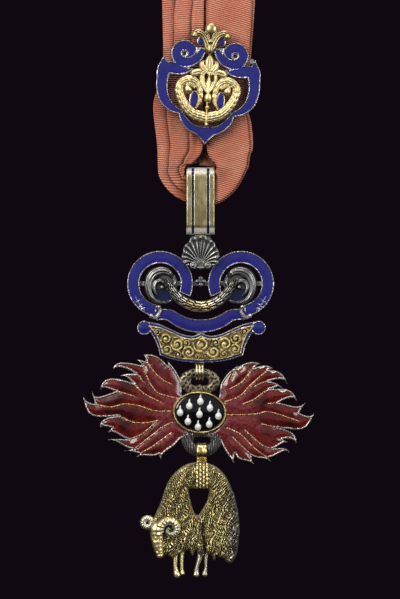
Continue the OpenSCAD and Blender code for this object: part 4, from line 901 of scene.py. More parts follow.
# Columns: each leaf's root across and up, its tip across and up
sprig_leaves = [(12.9, -5.5, 12.1, -5.2), (13.3, -4.8, 12.6, -4.3), (13.8, -3.9, 13.2, -3.3),
                (13.2, -5.0, 13.9, -5.1), (13.8, -4.0, 14.5, -4.0)]
sprig_runs = [curve(stem_row)] + [curve([[x0, z0, 0.3], [x1, z1, 0.05]]) for x0, z0, x1, z1 in sprig_leaves]


def frame_glass(x, z, depth=None):
    """Millimetres inside the glass: within a rim of each cell, clear of the clasps and the engraved sprigs."""
    glass = frame_cells(x, z) - RIM
    for run in sprig_runs:
        glass = np.minimum(glass, -stroke(np.abs(x), z, run)[0])
    return np.minimum(glass, -clasp_depth(x, z))


def frame_rise(x, z, depth):
    """Cells with rims, and over them the clasps, half-round with a groove down the strip."""
    rise = FRAME_FACE + celled(frame_glass(x, z))
    u = np.abs(x)
    inside, across, _ = stroke(u, z, clasp_run)
    strip = 0.15 + 0.55 * rounded(across) - 0.12 * np.exp(-((across / 0.25) ** 2))
    rise = np.where(inside > 0, FRAME_FACE + strip, rise)
    for cx, cz, r in clasp_balls:
        share = np.hypot(u - cx, z - cz) / r
        rise = np.where(share < 1, FRAME_FACE + 0.25 + 0.65 * rounded(share), rise)
    return rise


scroll_frame = relief(
    "scroll_frame", (-16.4, -10.8, 16.4, 7.5), 0.12, lambda x, z: np.maximum(frame_cells(x, z), clasp_depth(x, z)),
    frame_rise, FRAME_BACK, {"enamel": frame_glass}, CREST_AT)
scroll_frame.data.materials.append(enamelled(
    "frame_enamel_work", ROSY_SILVER, SILVER_DULL, SILVER_SHADE, NAVY, NAVY_DEEP))
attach(scroll_frame, "frame")
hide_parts("ring_enamel_left", "ring_enamel_right", "banner_enamel")

# THE CRESCENTS. In each ring lies a cast silver leaf rolled into a crescent, its tip coiled to a ball round a
# sunk field of dark enamel. The two are mirror images and are held by a plain strut behind.
LEAF_X, LEAF_Z = 8.55, -0.45
LEAF_BACK, LEAF_FACE = -0.55, 0.55
# Columns: across (positive is outward), up, breadth, in millimetres from the crescent's middle
leaf_outer = curve([[-2.4, 2.0, 0.9], [-1.3, 3.2, 1.5], [0.4, 3.35, 1.9], [2.0, 2.55, 2.1], [2.85, 0.8, 1.9],
                    [2.8, -1.2, 1.5], [1.75, -2.95, 1.15], [-0.1, -3.6, 0.8], [-1.9, -3.35, 0.5], [-2.9, -2.7, 0.2]])
leaf_inner = curve([[-0.1, -0.25, 0.5], [-0.55, 0.45, 0.75], [0.2, 1.25, 1.05], [1.35, 0.85, 1.15], [1.75, -0.4, 1.0],
                    [1.35, -1.5, 0.7], [0.7, -2.2, 0.3]])
leaf_lip = curve([[-2.6, 1.7, 0.5], [-2.9, 0.9, 0.7], [-2.6, 0.2, 0.6], [-2.0, -0.4, 0.3]])


def leaf_places(x, z):
    """Places folded onto the right-hand crescent, from its middle, with outward as positive."""
    return np.abs(x) - LEAF_X, z - LEAF_Z


def leaf_depth(x, z):
    """Inside the crescent's oval body, its shoulder or one of its three rolled edges."""
    u, w = leaf_places(x, z)
    body = ellipse(u, w, 0.1, -0.1, 3.35, 3.6)
    shoulder = stroke(u, w, np.array([[-2.2, 1.9, 1.6], [-3.0, 0.6, 1.3], [-2.2, -0.8, 1.2]]))[0]
    return np.maximum.reduce([body, shoulder] + [stroke(u, w, run)[0] for run in (leaf_outer, leaf_inner, leaf_lip)])


def leaf_glass(x, z, depth=None):
    """The enamel field: the lower part of the crescent, clear of its rolled edges."""
    u, w = leaf_places(x, z)
    field = np.minimum(ellipse(u, w, 0.0, -0.8, 3.0, 2.7), -0.75 - w + 0.15 * u)
    for run in (leaf_outer, leaf_inner):
        field = np.minimum(field, -stroke(u, w, run)[0] - 0.02)
    return field


def leaf_rise(x, z, depth):
    """Rolled leaves: each band swells across its breadth and carries fine veins; the field between lies low."""
    u, w = leaf_places(x, z)
    rise = np.full(x.shape, LEAF_FACE - 0.1)
    for run, swell, veins in ((leaf_lip, 0.6, 1), (leaf_inner, 1.05, 1), (leaf_outer, 1.0, 2)):
        inside, across, along = stroke(u, w, run)
        vein = np.abs(np.sin(math.pi * (across + 1) / 2 * (veins + 1)))
        roll = swell * (0.15 + 0.85 * rounded(0.15 + 0.85 * across)) * soft_step(along, -0.5, 1.2)
        rise = np.where(inside > 0, np.maximum(rise, LEAF_FACE + roll - 0.14 * (1 - vein)), rise)
    ball = np.hypot(u + 0.05, w + 0.3) / 0.48
    return np.where(ball < 1, LEAF_FACE + 0.9 + 0.5 * rounded(ball), rise)


crescents = relief(
    "silver_crescents", (-12.7, -4.9, 12.7, 4.0), 0.1, leaf_depth, leaf_rise, LEAF_BACK,
    {"enamel": leaf_glass}, CREST_AT)
crescents.data.materials.append(enamelled(
    "crescent_silver", (0.30, 0.30, 0.29), (0.13, 0.13, 0.125), GREY_SHADE,
    (0.012, 0.014, 0.10), (0.008, 0.008, 0.05)))
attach(crescents, "frame")
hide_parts("acanthus_left", "acanthus_right", "field_left", "field_right")

# THE SWAG. A bundle of laurel leaves hangs between the crescents: overlapping pointed leaves in three rows that
# run outward from the middle, silver at the ends and rubbed gold in the middle.
swag_side = np.array([[0, -4.95, 2.45], [2.0, -4.65, 2.4], [4.2, -3.55, 2.2], [6.0, -1.75, 1.9], [7.1, -0.1, 1.5],
                      [7.75, 0.95, 0.8]])
swag_run = curve(right_and_left(swag_side), 8)
SWAG_BACK, SWAG_FACE, LAUREL = 1.2, 1.55, 1.7
swag_length = np.hypot(*np.diff(swag_run[:, :2], axis=0).T).sum()


def laurel(x, z):
    """A leaf's height, 0 to 1: leaves slant from the bundle's middle line out to its edges, each row half a leaf
    ahead of the next, and a leaf rises from its root to its tip and falls off sharply to the leaf over it."""
    _, across, along = stroke(x, z, swag_run)
    out = np.abs(along - swag_length / 2) / LAUREL
    row = np.floor(np.abs(across) * 2)
    turn = out - 0.75 * np.abs(across) + 0.5 * row + 0.25 * (across > 0)
    share = turn - np.floor(turn)
    jitter = 0.5 + 0.5 * np.sin(5.3 * np.floor(turn) + 2.1 * row + (across > 0))
    ridge = np.abs(np.mod(np.abs(across) * 2, 1) - 0.5) * 2
    return np.clip(share**0.7 * (1 - ridge**3) * (1 - soft_step(share, 0.88, 1)) * (0.75 + 0.25 * jitter), 0, 1)


def swag_rise(x, z, depth):
    """The bundle is half-round, with the leaves standing on it."""
    return SWAG_FACE + 0.7 * rounded(stroke(x, z, swag_run)[1] * 0.92) + 0.5 * laurel(x, z)


swag = relief(
    "laurel_swag", (-8.3, -6.4, 8.3, 1.4), 0.075, lambda x, z: stroke(x, z, swag_run)[0], swag_rise, SWAG_BACK,
    {"middle": lambda x, z, depth: 1 - np.abs(x + 0.3) / 7, "proud": lambda x, z, depth: laurel(x, z)}, CREST_AT)
swag_finish = Finish("swag_gilt", Metallic=1.0)
silver_part, silver_rough, _ = worn_and_shaded_metal(
    swag_finish, (0.72, 0.69, 0.62), (0.38, 0.36, 0.31), GREY_SHADE, 0.25, 1.4, 0.6)
gold_part, _, _ = worn_and_shaded_metal(swag_finish, (0.95, 0.80, 0.46), (0.56, 0.46, 0.24), GILT_SHADE, 0.3, 1.4, 0.6)
rubbed = (swag_finish.mark("middle") + swag_finish.noise(1.2) * 0.5).step(0.55, 1.05)
root = (1 - swag_finish.mark("proud")).step(0.55, 1.0)
leaves = swag_finish.mix(rubbed, silver_part, gold_part)
swag.data.materials.append(swag_finish.feed(
    Base_Color=swag_finish.mix(root * 0.8, leaves, (0.06, 0.05, 0.04)), Roughness=silver_rough))
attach(swag, "frame")
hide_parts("swag")

# THE QUATREFOIL. Four small lobes round a boss, cast in silver, on the strut between the rings.
FOIL_X, FOIL_Z, FOIL_BOSS = 0.05, 0.55, 0.28
lobes = [(FOIL_X + 0.68 * math.cos(a), FOIL_Z + 0.68 * math.sin(a), 0.52) for a in np.arange(4) * math.pi / 2]


def foil_depth(x, z):
    """Inside one of the four lobes or the round between them."""
    return np.maximum.reduce([ellipse(x, z, *lobe) for lobe in lobes + [(FOIL_X, FOIL_Z, 0.55)]])


def foil_rise(x, z, depth):
    """The lobes swell from their edges, and the boss stands over them."""
    return 0.55 + 0.3 * np.sqrt(np.clip(depth / 0.45, 0, 1)) + 0.3 * (np.hypot(x - FOIL_X, z - FOIL_Z) < FOIL_BOSS)


quatrefoil = relief("quatrefoil", (-1.3, -0.8, 1.4, 1.9), 0.06, foil_depth, foil_rise, FRAME_BACK, (), CREST_AT)
quatrefoil.data.materials.append(metal("foil_silver", (0.2, 0.2, 0.2), (0.1, 0.1, 0.1), GREY_SHADE, rough=0.35))
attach(quatrefoil, "frame")
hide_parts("quatrefoil")

# The struts behind, which the silversmith soldered across the rings and down to the plaque
STRUT_T = 0.6
strut_x, strut_y = RING_X + RING_IN + 0.6, FRONT_Y / MM + 0.6


def bar_shape(low, high, bevel=0.08):
    """A bevelled bar between two corners: its section, a square with cut corners, swept from end to end."""
    (x0, y0, z0), (x1, y1, z1) = low, high
    section = np.array([[y0, z0 + bevel], [y0, z1 - bevel], [y0 + bevel, z1], [y1 - bevel, z1],
                        [y1, z1 - bevel], [y1, z0 + bevel], [y1 - bevel, z0], [y0 + bevel, z0]])
    mid = section.mean(0)
    ends = [(x0, 1e-3), (x0, 0.9), (x0 + bevel, 1.0), (x1 - bevel, 1.0), (x1, 0.9), (x1, 1e-3)]
    return lattice(np.array([[(x, *(mid + (p - mid) * share)) for p in section] for x, share in ends]), loop_v=True)


struts = solid("struts", [
    bar_shape((-strut_x, strut_y, CREST_AT[1] - 0.4), (strut_x, strut_y + STRUT_T, CREST_AT[1] + 0.6)),
    bar_shape((-0.8, strut_y, CREST_AT[1] - 13.2), (0.8, strut_y + STRUT_T, CREST_AT[1] - 9.2))])
struts.data.materials.append(metal("strut_silver", GREY, GREY_DULL, GREY_SHADE, rough=0.4))
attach(struts, "frame")
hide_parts("scroll_frame")

# THE PLAQUE. A silver plate shaped like an open book's spread hangs under the banner. A band of blue enamel runs
# along its top into a ball at each end; the rest is a separate gilt plate cast with close leaf scrolls.
PLAQUE_FACE, PLAQUE_BACK, RELIEF_BACK = 0.66, -0.5, 0.3
PLAQUE_AT = (CREST_AT[0] + 0.2, CREST_AT[1])
BALL_X, BALL_Z, BALL_R, BAND_END = 12.62, -9.66, 1.55, 12.2
# Half outlines from the middle of the top round to the middle of the foot: across, up, from the rings' middle
plaque_top = curve([(0, -10.78), (1.0, -11.2), (2.4, -11.45), (4.4, -11.0), (7.0, -9.85), (9.4, -8.8),
                    (11.6, -8.35)], 4)
plaque_side = curve([(11.4, -10.2), (10.2, -12.3), (9.5, -14.0), (9.15, -15.65)], 4)
plaque_foot = curve([(9.15, -15.65), (6.1, -16.65), (3.1, -17.15), (0, -17.32)], 4)
relief_top = curve([(0, -11.35), (1.1, -11.85), (2.6, -12.0), (4.6, -11.5), (7.0, -10.4), (9.2, -9.5), (11.7, -9.1)],
                   4)
relief_side = curve([(11.7, -9.1), (10.2, -10.9), (9.2, -13.0), (8.7, -15.25)], 4)
relief_foot = curve([(8.7, -15.25), (5.9, -16.15), (3.0, -16.62), (0, -16.78)], 4)


def whole(*runs):
    """A closed outline from half of it and its mirror image."""
    half = np.vstack(runs)
    return np.vstack([half, half[-2:0:-1] * [-1, 1]])


def polygon_depth(x, z, points):
    """Depth inside a closed outline: distance to its nearest side, positive where a level ray crosses oddly."""
    far, odd = np.full(np.shape(x), 1e3), np.zeros(np.shape(x), bool)
    for (ax, az), (bx, bz) in zip(points, np.roll(points, -1, axis=0)):
        dx, dz = bx - ax, bz - az
        t = np.clip(((x - ax) * dx + (z - az) * dz) / (dx * dx + dz * dz + 1e-12), 0, 1)
        far = np.minimum(far, np.hypot(x - ax - dx * t, z - az - dz * t))
        odd ^= ((az > z) != (bz > z)) & (x < ax + (z - az) * dx / (dz if dz else 1e-9))
    return np.where(odd, far, -far)


plaque_outline = whole(plaque_top, plaque_side, plaque_foot)
relief_outline = whole(relief_top, relief_side, relief_foot)


def plaque_depth(x, z):
    """Inside the plate's outline or one of the two balls."""
    return np.maximum(polygon_depth(x, z, plaque_outline), ellipse(np.abs(x), z, BALL_X, BALL_Z, BALL_R))


def plaque_glass(x, z, depth):
    """The blue band along the top and down the sides, round the gilt plate, and the two balls."""
    band = np.minimum(depth - 0.2, 0.05 - polygon_depth(x, z, relief_outline))
    ball = ellipse(np.abs(x), z, BALL_X, BALL_Z, BALL_R - RIM)
    return np.where(np.abs(x) < BAND_END, np.maximum(band, ball), ball)


def plaque_rise(x, z, depth):
    """Cells with rims, the balls swelling a little more."""
    ball = ellipse(np.abs(x), z, BALL_X, BALL_Z, BALL_R)
    return PLAQUE_FACE + celled(plaque_glass(x, z, depth)) + 0.25 * np.sqrt(np.clip(ball / BALL_R, 0, 1))


plaque = relief("plaque_frame", (-14.4, -17.5, 14.4, -8.0), 0.11, plaque_depth, plaque_rise, PLAQUE_BACK,
                {"enamel": plaque_glass}, PLAQUE_AT)
plaque.data.materials.append(enamelled("plaque_enamel_work", SILVER, SILVER_DULL, SILVER_SHADE, NAVY, NAVY_DEEP))
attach(plaque, "frame")
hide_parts("plaque_frame", "plaque_enamel")

# Leaf scrolls: each coil turns about its own middle and is cut into lobes. Columns: across, up, radius, hand
coil_rows = [(0.1, -13.4, 1.55, 1), (2.6, -14.9, 1.35, -1), (3.2, -12.9, 0.85, 1), (5.2, -13.2, 1.45, 1),
             (4.9, -15.4, 0.75, -1), (7.6, -12.0, 1.15, -1), (7.4, -14.3, 1.2, 1), (9.6, -10.4, 0.8, 1),
             (0.9, -15.9, 0.65, 1), (1.5, -12.2, 0.5, -1)]
coils = [row for x0, z0, r, hand in coil_rows for row in ((x0, z0, r, hand), (-x0 - 0.15, z0 - 0.1, r, -hand))]


def scroll_height(x, z):
    """0 to 1: the nearest coil's spiral ridge, lobed at its edge, with a boss in its eye and a valley round it."""
    near, height = np.full(x.shape, 9.0), np.zeros(x.shape)
    for cx, cz, r, hand in coils:
        away = np.hypot(x - cx, z - cz)
        share = away / r
        turn = np.arctan2(z - cz, x - cx)
        ridge = 0.5 + 0.5 * np.cos(2 * math.pi * away / (0.62 * r + 0.1) - hand * turn)
        lobes = 0.5 + 0.5 * np.cos(6 * turn + 4 * hand * share)
        coil = (0.25 + 0.75 * ridge) * (1 - 0.6 * soft_step(share, 0.65, 1.1) * (1 - lobes))
        coil = coil * (1 - 0.75 * soft_step(share, 1.0, 1.35))
        coil = np.where(share < 0.24, 1.05, coil)
        nearer = share < near
        near, height = np.where(nearer, share, near), np.where(nearer, coil, height)
    return height


def relief_lip(depth):
    """1 on the gilt plate's narrow lip, 0 inside it."""
    return 1 - soft_step(depth, 0.12, 0.3)


def relief_rise(x, z, depth):
    """The scrolls die out at the edge, where a lip stands."""
    scrolls = 0.82 * scroll_height(x, z) * soft_step(depth, 0.0, 0.35)
    return PLAQUE_FACE + 0.12 + scrolls + 0.3 * relief_lip(depth)


plaque_relief = relief(
    "plaque_relief", (-12.0, -17.0, 12.0, -8.8), 0.08, lambda x, z: polygon_depth(x, z, relief_outline),
    relief_rise, RELIEF_BACK,
    {"proud": lambda x, z, depth: np.maximum(1.15 * scroll_height(x, z), relief_lip(depth))}, PLAQUE_AT)


def antique(name, bright, dull, dark):
    """Cast gilt relief: bright where it stands proud (the mark `proud`), dark brown in its hollows."""
    finish = Finish(name, Metallic=0.85)
    colour, roughness, crumb = worn_and_shaded_metal(finish, bright, dull, dark, 0.34, 0.8, 0.6)
    soiled = finish.noise(3.0, 3.0).step(0.45, 0.6)
    hollow = (1 - finish.mark("proud") + finish.noise(0.9) * 0.55 + soiled * 0.3 - 0.36).step(0.25, 0.9)
    return finish.feed(
        Base_Color=finish.mix(hollow * 0.85, colour, dark), Roughness=roughness + hollow * 0.2,
        Normal=finish.bump(crumb + finish.noise(0.6, 3.0), 0.1, 0.5))


plaque_relief.data.materials.append(antique("relief_gilt", (1.0, 0.86, 0.44), (0.80, 0.62, 0.28), (0.11, 0.07, 0.03)))
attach(plaque_relief, "frame")
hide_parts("plaque_relief")

# THE WIRE LOOP. Three gold wire rings soldered side by side hang from the plaque; the flames' upper moon rides
# in them on a thin bored sleeve.
HOOP_R, LOOP_WIRE, LOOP_PITCH = 1.42, 0.28, 0.64
WIRE_AT = (-0.2, -151.12)


def hoop(centre, big, small, around=48, sides=12):
    """A wire bent into a ring about the across axis: a small circle carried round a big one."""
    turn = np.linspace(0, 2 * math.pi, around, endpoint=False)[:, None]
    section = np.linspace(0, 2 * math.pi, sides, endpoint=False)[None, :]
    r = big + small * np.cos(section)
    x = centre[0] + 0 * turn + small * np.sin(section)
    return lattice(np.stack([x, centre[1] + r * np.cos(turn), centre[2] + r * np.sin(turn)], -1), True, True)


wire_x, wire_z = WIRE_AT
wire_parts = [hoop((wire_x + shift, FRONT_Y / MM, wire_z), HOOP_R + LOOP_WIRE, LOOP_WIRE)
              for shift in (-LOOP_PITCH, 0, LOOP_PITCH)]
wire_parts.append(bar_shape((wire_x - 0.95, FRONT_Y / MM + 0.35, wire_z + 1.35),
                            (wire_x + 0.95, FRONT_Y / MM + 0.95, wire_z + 4.0)))
wire_loop = solid("wire_loop", wire_parts)
wire_loop.data.materials.append(metal("wire_gold", (0.85, 0.74, 0.48), (0.5, 0.42, 0.25), GILT_SHADE, grain=0.3))
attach(wire_loop, "frame")
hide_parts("wire_loop")

# THE FLAMES. Two wings of pointed tongues either side of the stone, cut from one gold plate in a low relief,
# each tongue cushioned, filled with translucent red enamel over a lined ground and parted by thin gold wires.
FLAMES_AT, FLAMES_LEAN = (-0.2, -159.97), 4.2
FLAMES_BACK, FLAMES_FACE = -0.6, 0.62
STONE_RX, STONE_RZ, STONE_RIM = 5.5, 4.2, 0.42
# Each tongue's outline leaves a notch, runs to the tip and comes back to the next tongue's notch. Columns: notch out
# and up, way it leaves, fullness of that edge, tip out and up, way the tip points, fullness back, way it arrives;
# millimetres from the stone's centre, degrees from outward, and shares of each edge's length
left_tongues = [
    (4.4, 6.3, 62, 0.35, 7.9, 10.8, 40, 0.30, 262), (7.6, 9.5, 50, 0.40, 13.4, 11.7, -15, 0.35, 235),
    (12.4, 10.2, 15, 0.35, 14.8, 10.5, -5, 0.35, 225), (13.2, 9.3, 8, 0.50, 19.7, 7.2, -100, 0.45, 215),
    (14.6, 7.4, 0, 0.40, 18.2, 6.6, -30, 0.40, 215), (14.8, 5.2, 18, 0.50, 22.1, 3.1, -95, 0.45, 190),
    (18.6, 3.3, -20, 0.50, 23.9, 3.0, 85, 0.40, 262), (23.1, 0.1, 8, 0.40, 25.8, 1.8, 80, 0.62, 172),
    (17.6, -2.1, -10, 0.45, 21.5, -5.1, -110, 0.35, 190), (19.0, -4.8, -40, 0.30, 19.8, -5.8, -20, 0.40, 185),
    (15.0, -7.1, 0, 0.40, 20.0, -7.5, -10, 0.40, 175), (13.7, -9.1, -10, 0.40, 16.1, -9.7, -10, 0.40, 185),
    (12.4, -10.0, -50, 0.30, 13.2, -10.8, -25, 0.45, 150), (8.1, -9.8, -60, 0.30, 7.9, -10.8, -75, 0.40, 120),
    (4.2, -6.6, 120, 0.30, 1.2, -4.4, 120, 0.30, 90)]
right_tongues = [
    (4.2, 6.6, 68, 0.35, 7.7, 10.9, 35, 0.30, 235), (7.0, 10.0, 40, 0.40, 12.7, 11.6, -20, 0.40, 215),
    (11.1, 10.5, 25, 0.40, 15.4, 10.8, -35, 0.35, 195), (14.3, 10.4, 5, 0.45, 18.8, 7.4, -75, 0.45, 200),
    (14.5, 7.9, 0, 0.40, 17.8, 6.7, -40, 0.40, 190), (14.9, 6.2, 8, 0.50, 21.2, 3.8, -75, 0.45, 215),
    (17.1, 3.4, -5, 0.40, 23.1, 3.8, 50, 0.40, 240), (21.8, 1.5, -25, 0.45, 25.2, 1.9, 75, 0.60, 178),
    (17.3, -2.1, -8, 0.50, 21.8, -5.8, -90, 0.45, 190), (18.6, -4.5, -30, 0.40, 19.8, -5.0, 10, 0.40, 200),
    (16.5, -6.8, 10, 0.45, 20.6, -7.8, -70, 0.45, 195), (15.7, -8.9, -35, 0.30, 16.5, -9.6, -30, 0.40, 150),
    (12.0, -8.6, -70, 0.40, 12.9, -10.5, -30, 0.45, 110), (8.4, -8.4, -90, 0.40, 8.6, -10.8, -50, 0.40, 115),
    (5.0, -5.9, 140, 0.30, 1.2, -4.4, 120, 0.30, 90)]
# The wires inside: runs of [x, z] from the outer end to the root, in millimetres from the stone's centre
left_wires = [
    [(-12.4, 10.2), (-10.4, 7.9), (-8.6, 6.5), (-6.7, 5.7)],
    [(-13.3, 9.4), (-11.8, 6.3), (-10.6, 4.6), (-9.0, 3.4), (-5.0, 2.7)],
    [(-14.9, 5.4), (-12.7, 3.3), (-8.9, 1.7)], [(-18.6, 3.3), (-14.7, 2.5)],
    [(-23.0, 0.1), (-19.7, -0.3), (-16.5, 0.6), (-13.2, 0.4), (-9.8, -0.4), (-6.3, -0.2)],
    [(-17.6, -2.1), (-14.6, -3.2), (-11.8, -3.2), (-9.3, -2.6)], [(-15.0, -7.1), (-11.9, -5.4), (-9.0, -2.4)],
    [(-13.7, -9.1), (-9.9, -5.7), (-7.8, -3.8), (-5.5, -2.5)], [(-12.4, -10.0), (-9.7, -8.2), (-5.9, -5.0)],
    [(-17.8, 6.7), (-14.6, 7.4), (-13.0, 5.9)]]
right_wires = [
    [(7.1, 10.1), (6.4, 7.6)], [(11.1, 10.6), (8.8, 7.3), (6.3, 5.6)],
    [(14.3, 10.4), (10.6, 6.6), (8.6, 4.2), (5.4, 2.7)],
    [(14.5, 7.9), (13.2, 7.5), (11.6, 6.5)], [(15.0, 6.2), (13.6, 5.3), (11.9, 3.8), (9.4, 2.5)],
    [(17.1, 3.4), (15.0, 3.0)],
    [(21.7, -0.3), (15.4, 1.2), (12.2, 0.5), (5.8, -0.2)], [(17.3, -2.1), (13.9, -1.6)],
    [(16.5, -6.8), (14.2, -6.2), (10.2, -3.2)], [(15.7, -8.9), (12.6, -7.0), (9.2, -4.1), (6.3, -3.0)],
    [(12.0, -8.6), (7.5, -4.9)]]
FLAME_RIM, WIRE_W, BARE_TIP = 0.36, 0.28, 1.15


def edge_points(start, way, end, arrive, full):
    """A cubic bend from one point to another that leaves and arrives along given ways, without its last point."""
    start, end = np.array(start), np.array(end)
    handle = full * np.hypot(*(end - start))
    b = start + handle * np.array([math.cos(math.radians(way)), math.sin(math.radians(way))])
    c = end - handle * np.array([math.cos(math.radians(arrive)), math.sin(math.radians(arrive))])
    t = np.arange(6)[:, None] / 6
    return start * (1 - t) ** 3 + 3 * b * t * (1 - t) ** 2 + 3 * c * t**2 * (1 - t) + end * t**3


def wing_outline(rows, side):
    """A wing's outline: each tongue of flame bends to its tip and back, and the wing closes behind the stone."""
    points = []
    for row, after in zip(rows, rows[1:] + rows[:1]):
        notch_x, notch_z, leave, lead, tip_x, tip_z, way, trail, arrive = row
        points += [edge_points((notch_x, notch_z), leave, (tip_x, tip_z), way, lead),
                   edge_points((tip_x, tip_z), way + 180, after[:2], arrive, trail)]
    return np.concatenate(points) * [side, 1]


class Wing:
    """One wing of flames: its outline, its cells of glass between rim and wires, and its rise."""

    def __init__(self, rows, wires, side):
        self.outline = wing_outline(rows, side)
        self.tips = np.array(rows)[:-1, 4:6] * [side, 1]
        self.wires = [curve(np.hstack([np.array(w), np.full((len(w), 1), WIRE_W)]), 5) for w in wires]

    def depth(self, x, z):
        """Depth inside the wing's outline."""
        return polygon_depth(x, z, self.outline)

    def glass(self, x, z, depth):
        """Millimetres inside a cell; below 0 on the rim, on a wire and under the stone's rim."""
        glass = np.minimum(depth - FLAME_RIM, -ellipse(x, z, 0, 0, STONE_RX + STONE_RIM, STONE_RZ + STONE_RIM))
        for wire in self.wires:
            glass = np.minimum(glass, -stroke(x, z, wire)[0])
        for tip_x, tip_z in self.tips:
            glass = np.minimum(glass, np.hypot(x - tip_x, z - tip_z) - BARE_TIP)
        return glass

    def rise(self, x, z, depth):
        """The wing swells from its edge inward, each cell's glass swells again, and rim and wires stand over it."""
        glass = self.glass(x, z, depth)
        swell = FLAMES_FACE + 0.32 * soft_step(depth, 0, 2.0)
        pillow = 0.26 * np.sqrt(np.clip(glass / 1.4, 0, 1)) - 0.06
        ridge = 0.20 * np.sqrt(np.clip(1 - (1 + 2 * np.clip(glass, -FLAME_RIM, 0) / FLAME_RIM) ** 2, 0, 1))
        for wire in self.wires:
            inside, _, along = stroke(x, z, wire)
            ridge -= 0.10 * (inside > 0) * (0.5 + 0.5 * np.cos(2 * math.pi * along / 0.6))
        under_stone = ellipse(x, z, 0, 0, STONE_RX + 0.2, STONE_RZ + 0.2) > 0
        return np.where(under_stone, 0.2, swell + np.where(glass > 0, pillow, ridge))


def sheen_near_root(x, z, depth):
    """1 beside the stone, falling to 0 at the tips: where the enamel's painted sheen is strongest."""
    return np.exp(-((np.hypot(x, z) / 11) ** 2))


flame_glass = Finish("flame_enamel", Coat_Roughness=0.05)
silver_rim, gold_rough, crumb = worn_and_shaded_metal(
    flame_glass, (0.68, 0.61, 0.54), (0.34, 0.30, 0.27), (0.05, 0.03, 0.025), 0.34, 1.2, 0.5)
gold_wire = flame_glass.mix(crumb.step(0.4, 0.6), (0.24, 0.12, 0.05), (0.74, 0.50, 0.26))
gold_rim = flame_glass.mix(flame_glass.mark("depth").step(FLAME_RIM, 0.55), silver_rim, gold_wire)
cell = flame_glass.mark("enamel").step(-0.03, 0.04)
lines = (flame_glass.mark("enamel") * 26 + flame_glass.noise(1.1) * 6).maths("SINE") * 0.5 + 0.5
lit = (flame_glass.noise(3.2, 3.0) + lines * 0.22 + flame_glass.noise(0.35, 2.0) * 0.3).step(0.55, 1.0)
thick = flame_glass.mark("enamel").step(0.0, 0.7)
# Painted sheen: the red is lightened to rose in large soft patches and near the stone, standing in for reflection off
# the curved enamel
rosy_sheen = (flame_glass.noise(6.0, 2.0) + flame_glass.mark("root") * 0.3).step(0.48, 0.72)
red = flame_glass.mix(lit, flame_glass.mix(thick, (0.07, 0.007, 0.006), (0.02, 0.002, 0.002)), (0.20, 0.018, 0.014))
red = flame_glass.mix(rosy_sheen * 0.5, red, (0.32, 0.055, 0.065))
grain = flame_glass.noise(0.55, 1.0).step(0.35, 0.65)
red = flame_glass.mix(grain * 0.55, red, (0.05, 0.005, 0.005))
flame_glass.feed(
    Base_Color=flame_glass.mix(cell, gold_rim, red), Metallic=1 - cell,
    Roughness=gold_rough * (1 - cell) + cell * 0.22,
    Coat_Weight=cell * 0.7, Normal=flame_glass.bump(lines * cell * 0.6 + crumb, 0.05, 0.2))
wings = []
for name, rows, wires, side, box in (
        ("flames_left", left_tongues, left_wires, -1, (-26.2, -11.2, -1.0, 12.2)),
        ("flames_right", right_tongues, right_wires, 1, (1.0, -11.0, 25.6, 12.0))):
    wing = Wing(rows, wires, side)
    wings.append(relief(
        name, box, 0.13, wing.depth, wing.rise, FLAMES_BACK,
        {"enamel": wing.glass, "depth": lambda x, z, depth: depth, "root": sheen_near_root}, FLAMES_AT, FLAMES_LEAN))
    wings[-1].data.materials.append(flame_glass.material)
    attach(wings[-1], "flames")
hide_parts("flame_enamel_left")
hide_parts("flame_enamel_right")

# THE HALF-MOONS AND THE STONE'S RIM. A pierced gold half-moon above the stone takes the wires, a ribbed one below
# takes the fleece's ring; between them an oval gold rim holds the stone.
MOON_HALF, UPPER_HALF, MOON_HOLE = (4.5, 4.15), 2.95, (1.05, 0.9)
# Columns: middle across, foot, tip and the holes' middle up
UPPER_MOON, LOWER_MOON = (0.0, 4.55, 9.75, 6.75), (0.45, -4.4, -9.8, -6.25)


def moon_depth(x, z, row):
    """The lower moon is a half disc, the upper a flatter oval; two holes run into each other in each."""
    cx, foot, tip, hole_up = row
    way = math.copysign(1, tip)
    high = MOON_HALF[1] if way < 0 else UPPER_HALF
    disc = np.minimum(ellipse(x, z, cx, tip - way * high, MOON_HALF[0], high), way * (z - foot) + 0.3)
    holes = np.maximum(ellipse(x, z, cx - 0.85, hole_up, *MOON_HOLE), ellipse(x, z, cx + 0.95, hole_up, *MOON_HOLE))
    return np.minimum(disc, -np.maximum(holes, ellipse(x, z, cx, hole_up + 0.25, 1.2, 0.7)))


def pits(x, z, depth=None):
    """Hammered pits, 0 in a pit and 1 between: three crossed waves, sharpened."""
    wave = np.sin(6.1 * x + 1.3 * np.sin(3.7 * z)) + np.sin(6.7 * z + 1.1 * np.sin(4.3 * x)) + np.sin(4.9 * (x - z))
    return soft_step(wave, -1.3, 0.2)


def upper_rise(x, z, depth):
    """A swelling band, hammered all over except along its rubbed edge."""
    return 0.55 + 0.45 * np.sqrt(np.clip(depth / 0.9, 0, 1)) - 0.16 * (1 - pits(x, z)) * soft_step(depth, 0.1, 0.4)


def lower_rise(x, z, depth):
    """Fine ribs run down the lower moon side by side, spreading a little."""
    ribs = np.cos(2 * math.pi * (x - LOWER_MOON[0]) / (0.50 - 0.012 * (z + 5)))
    return 0.5 + 0.4 * np.sqrt(np.clip(depth, 0, 1)) + 0.15 * ribs


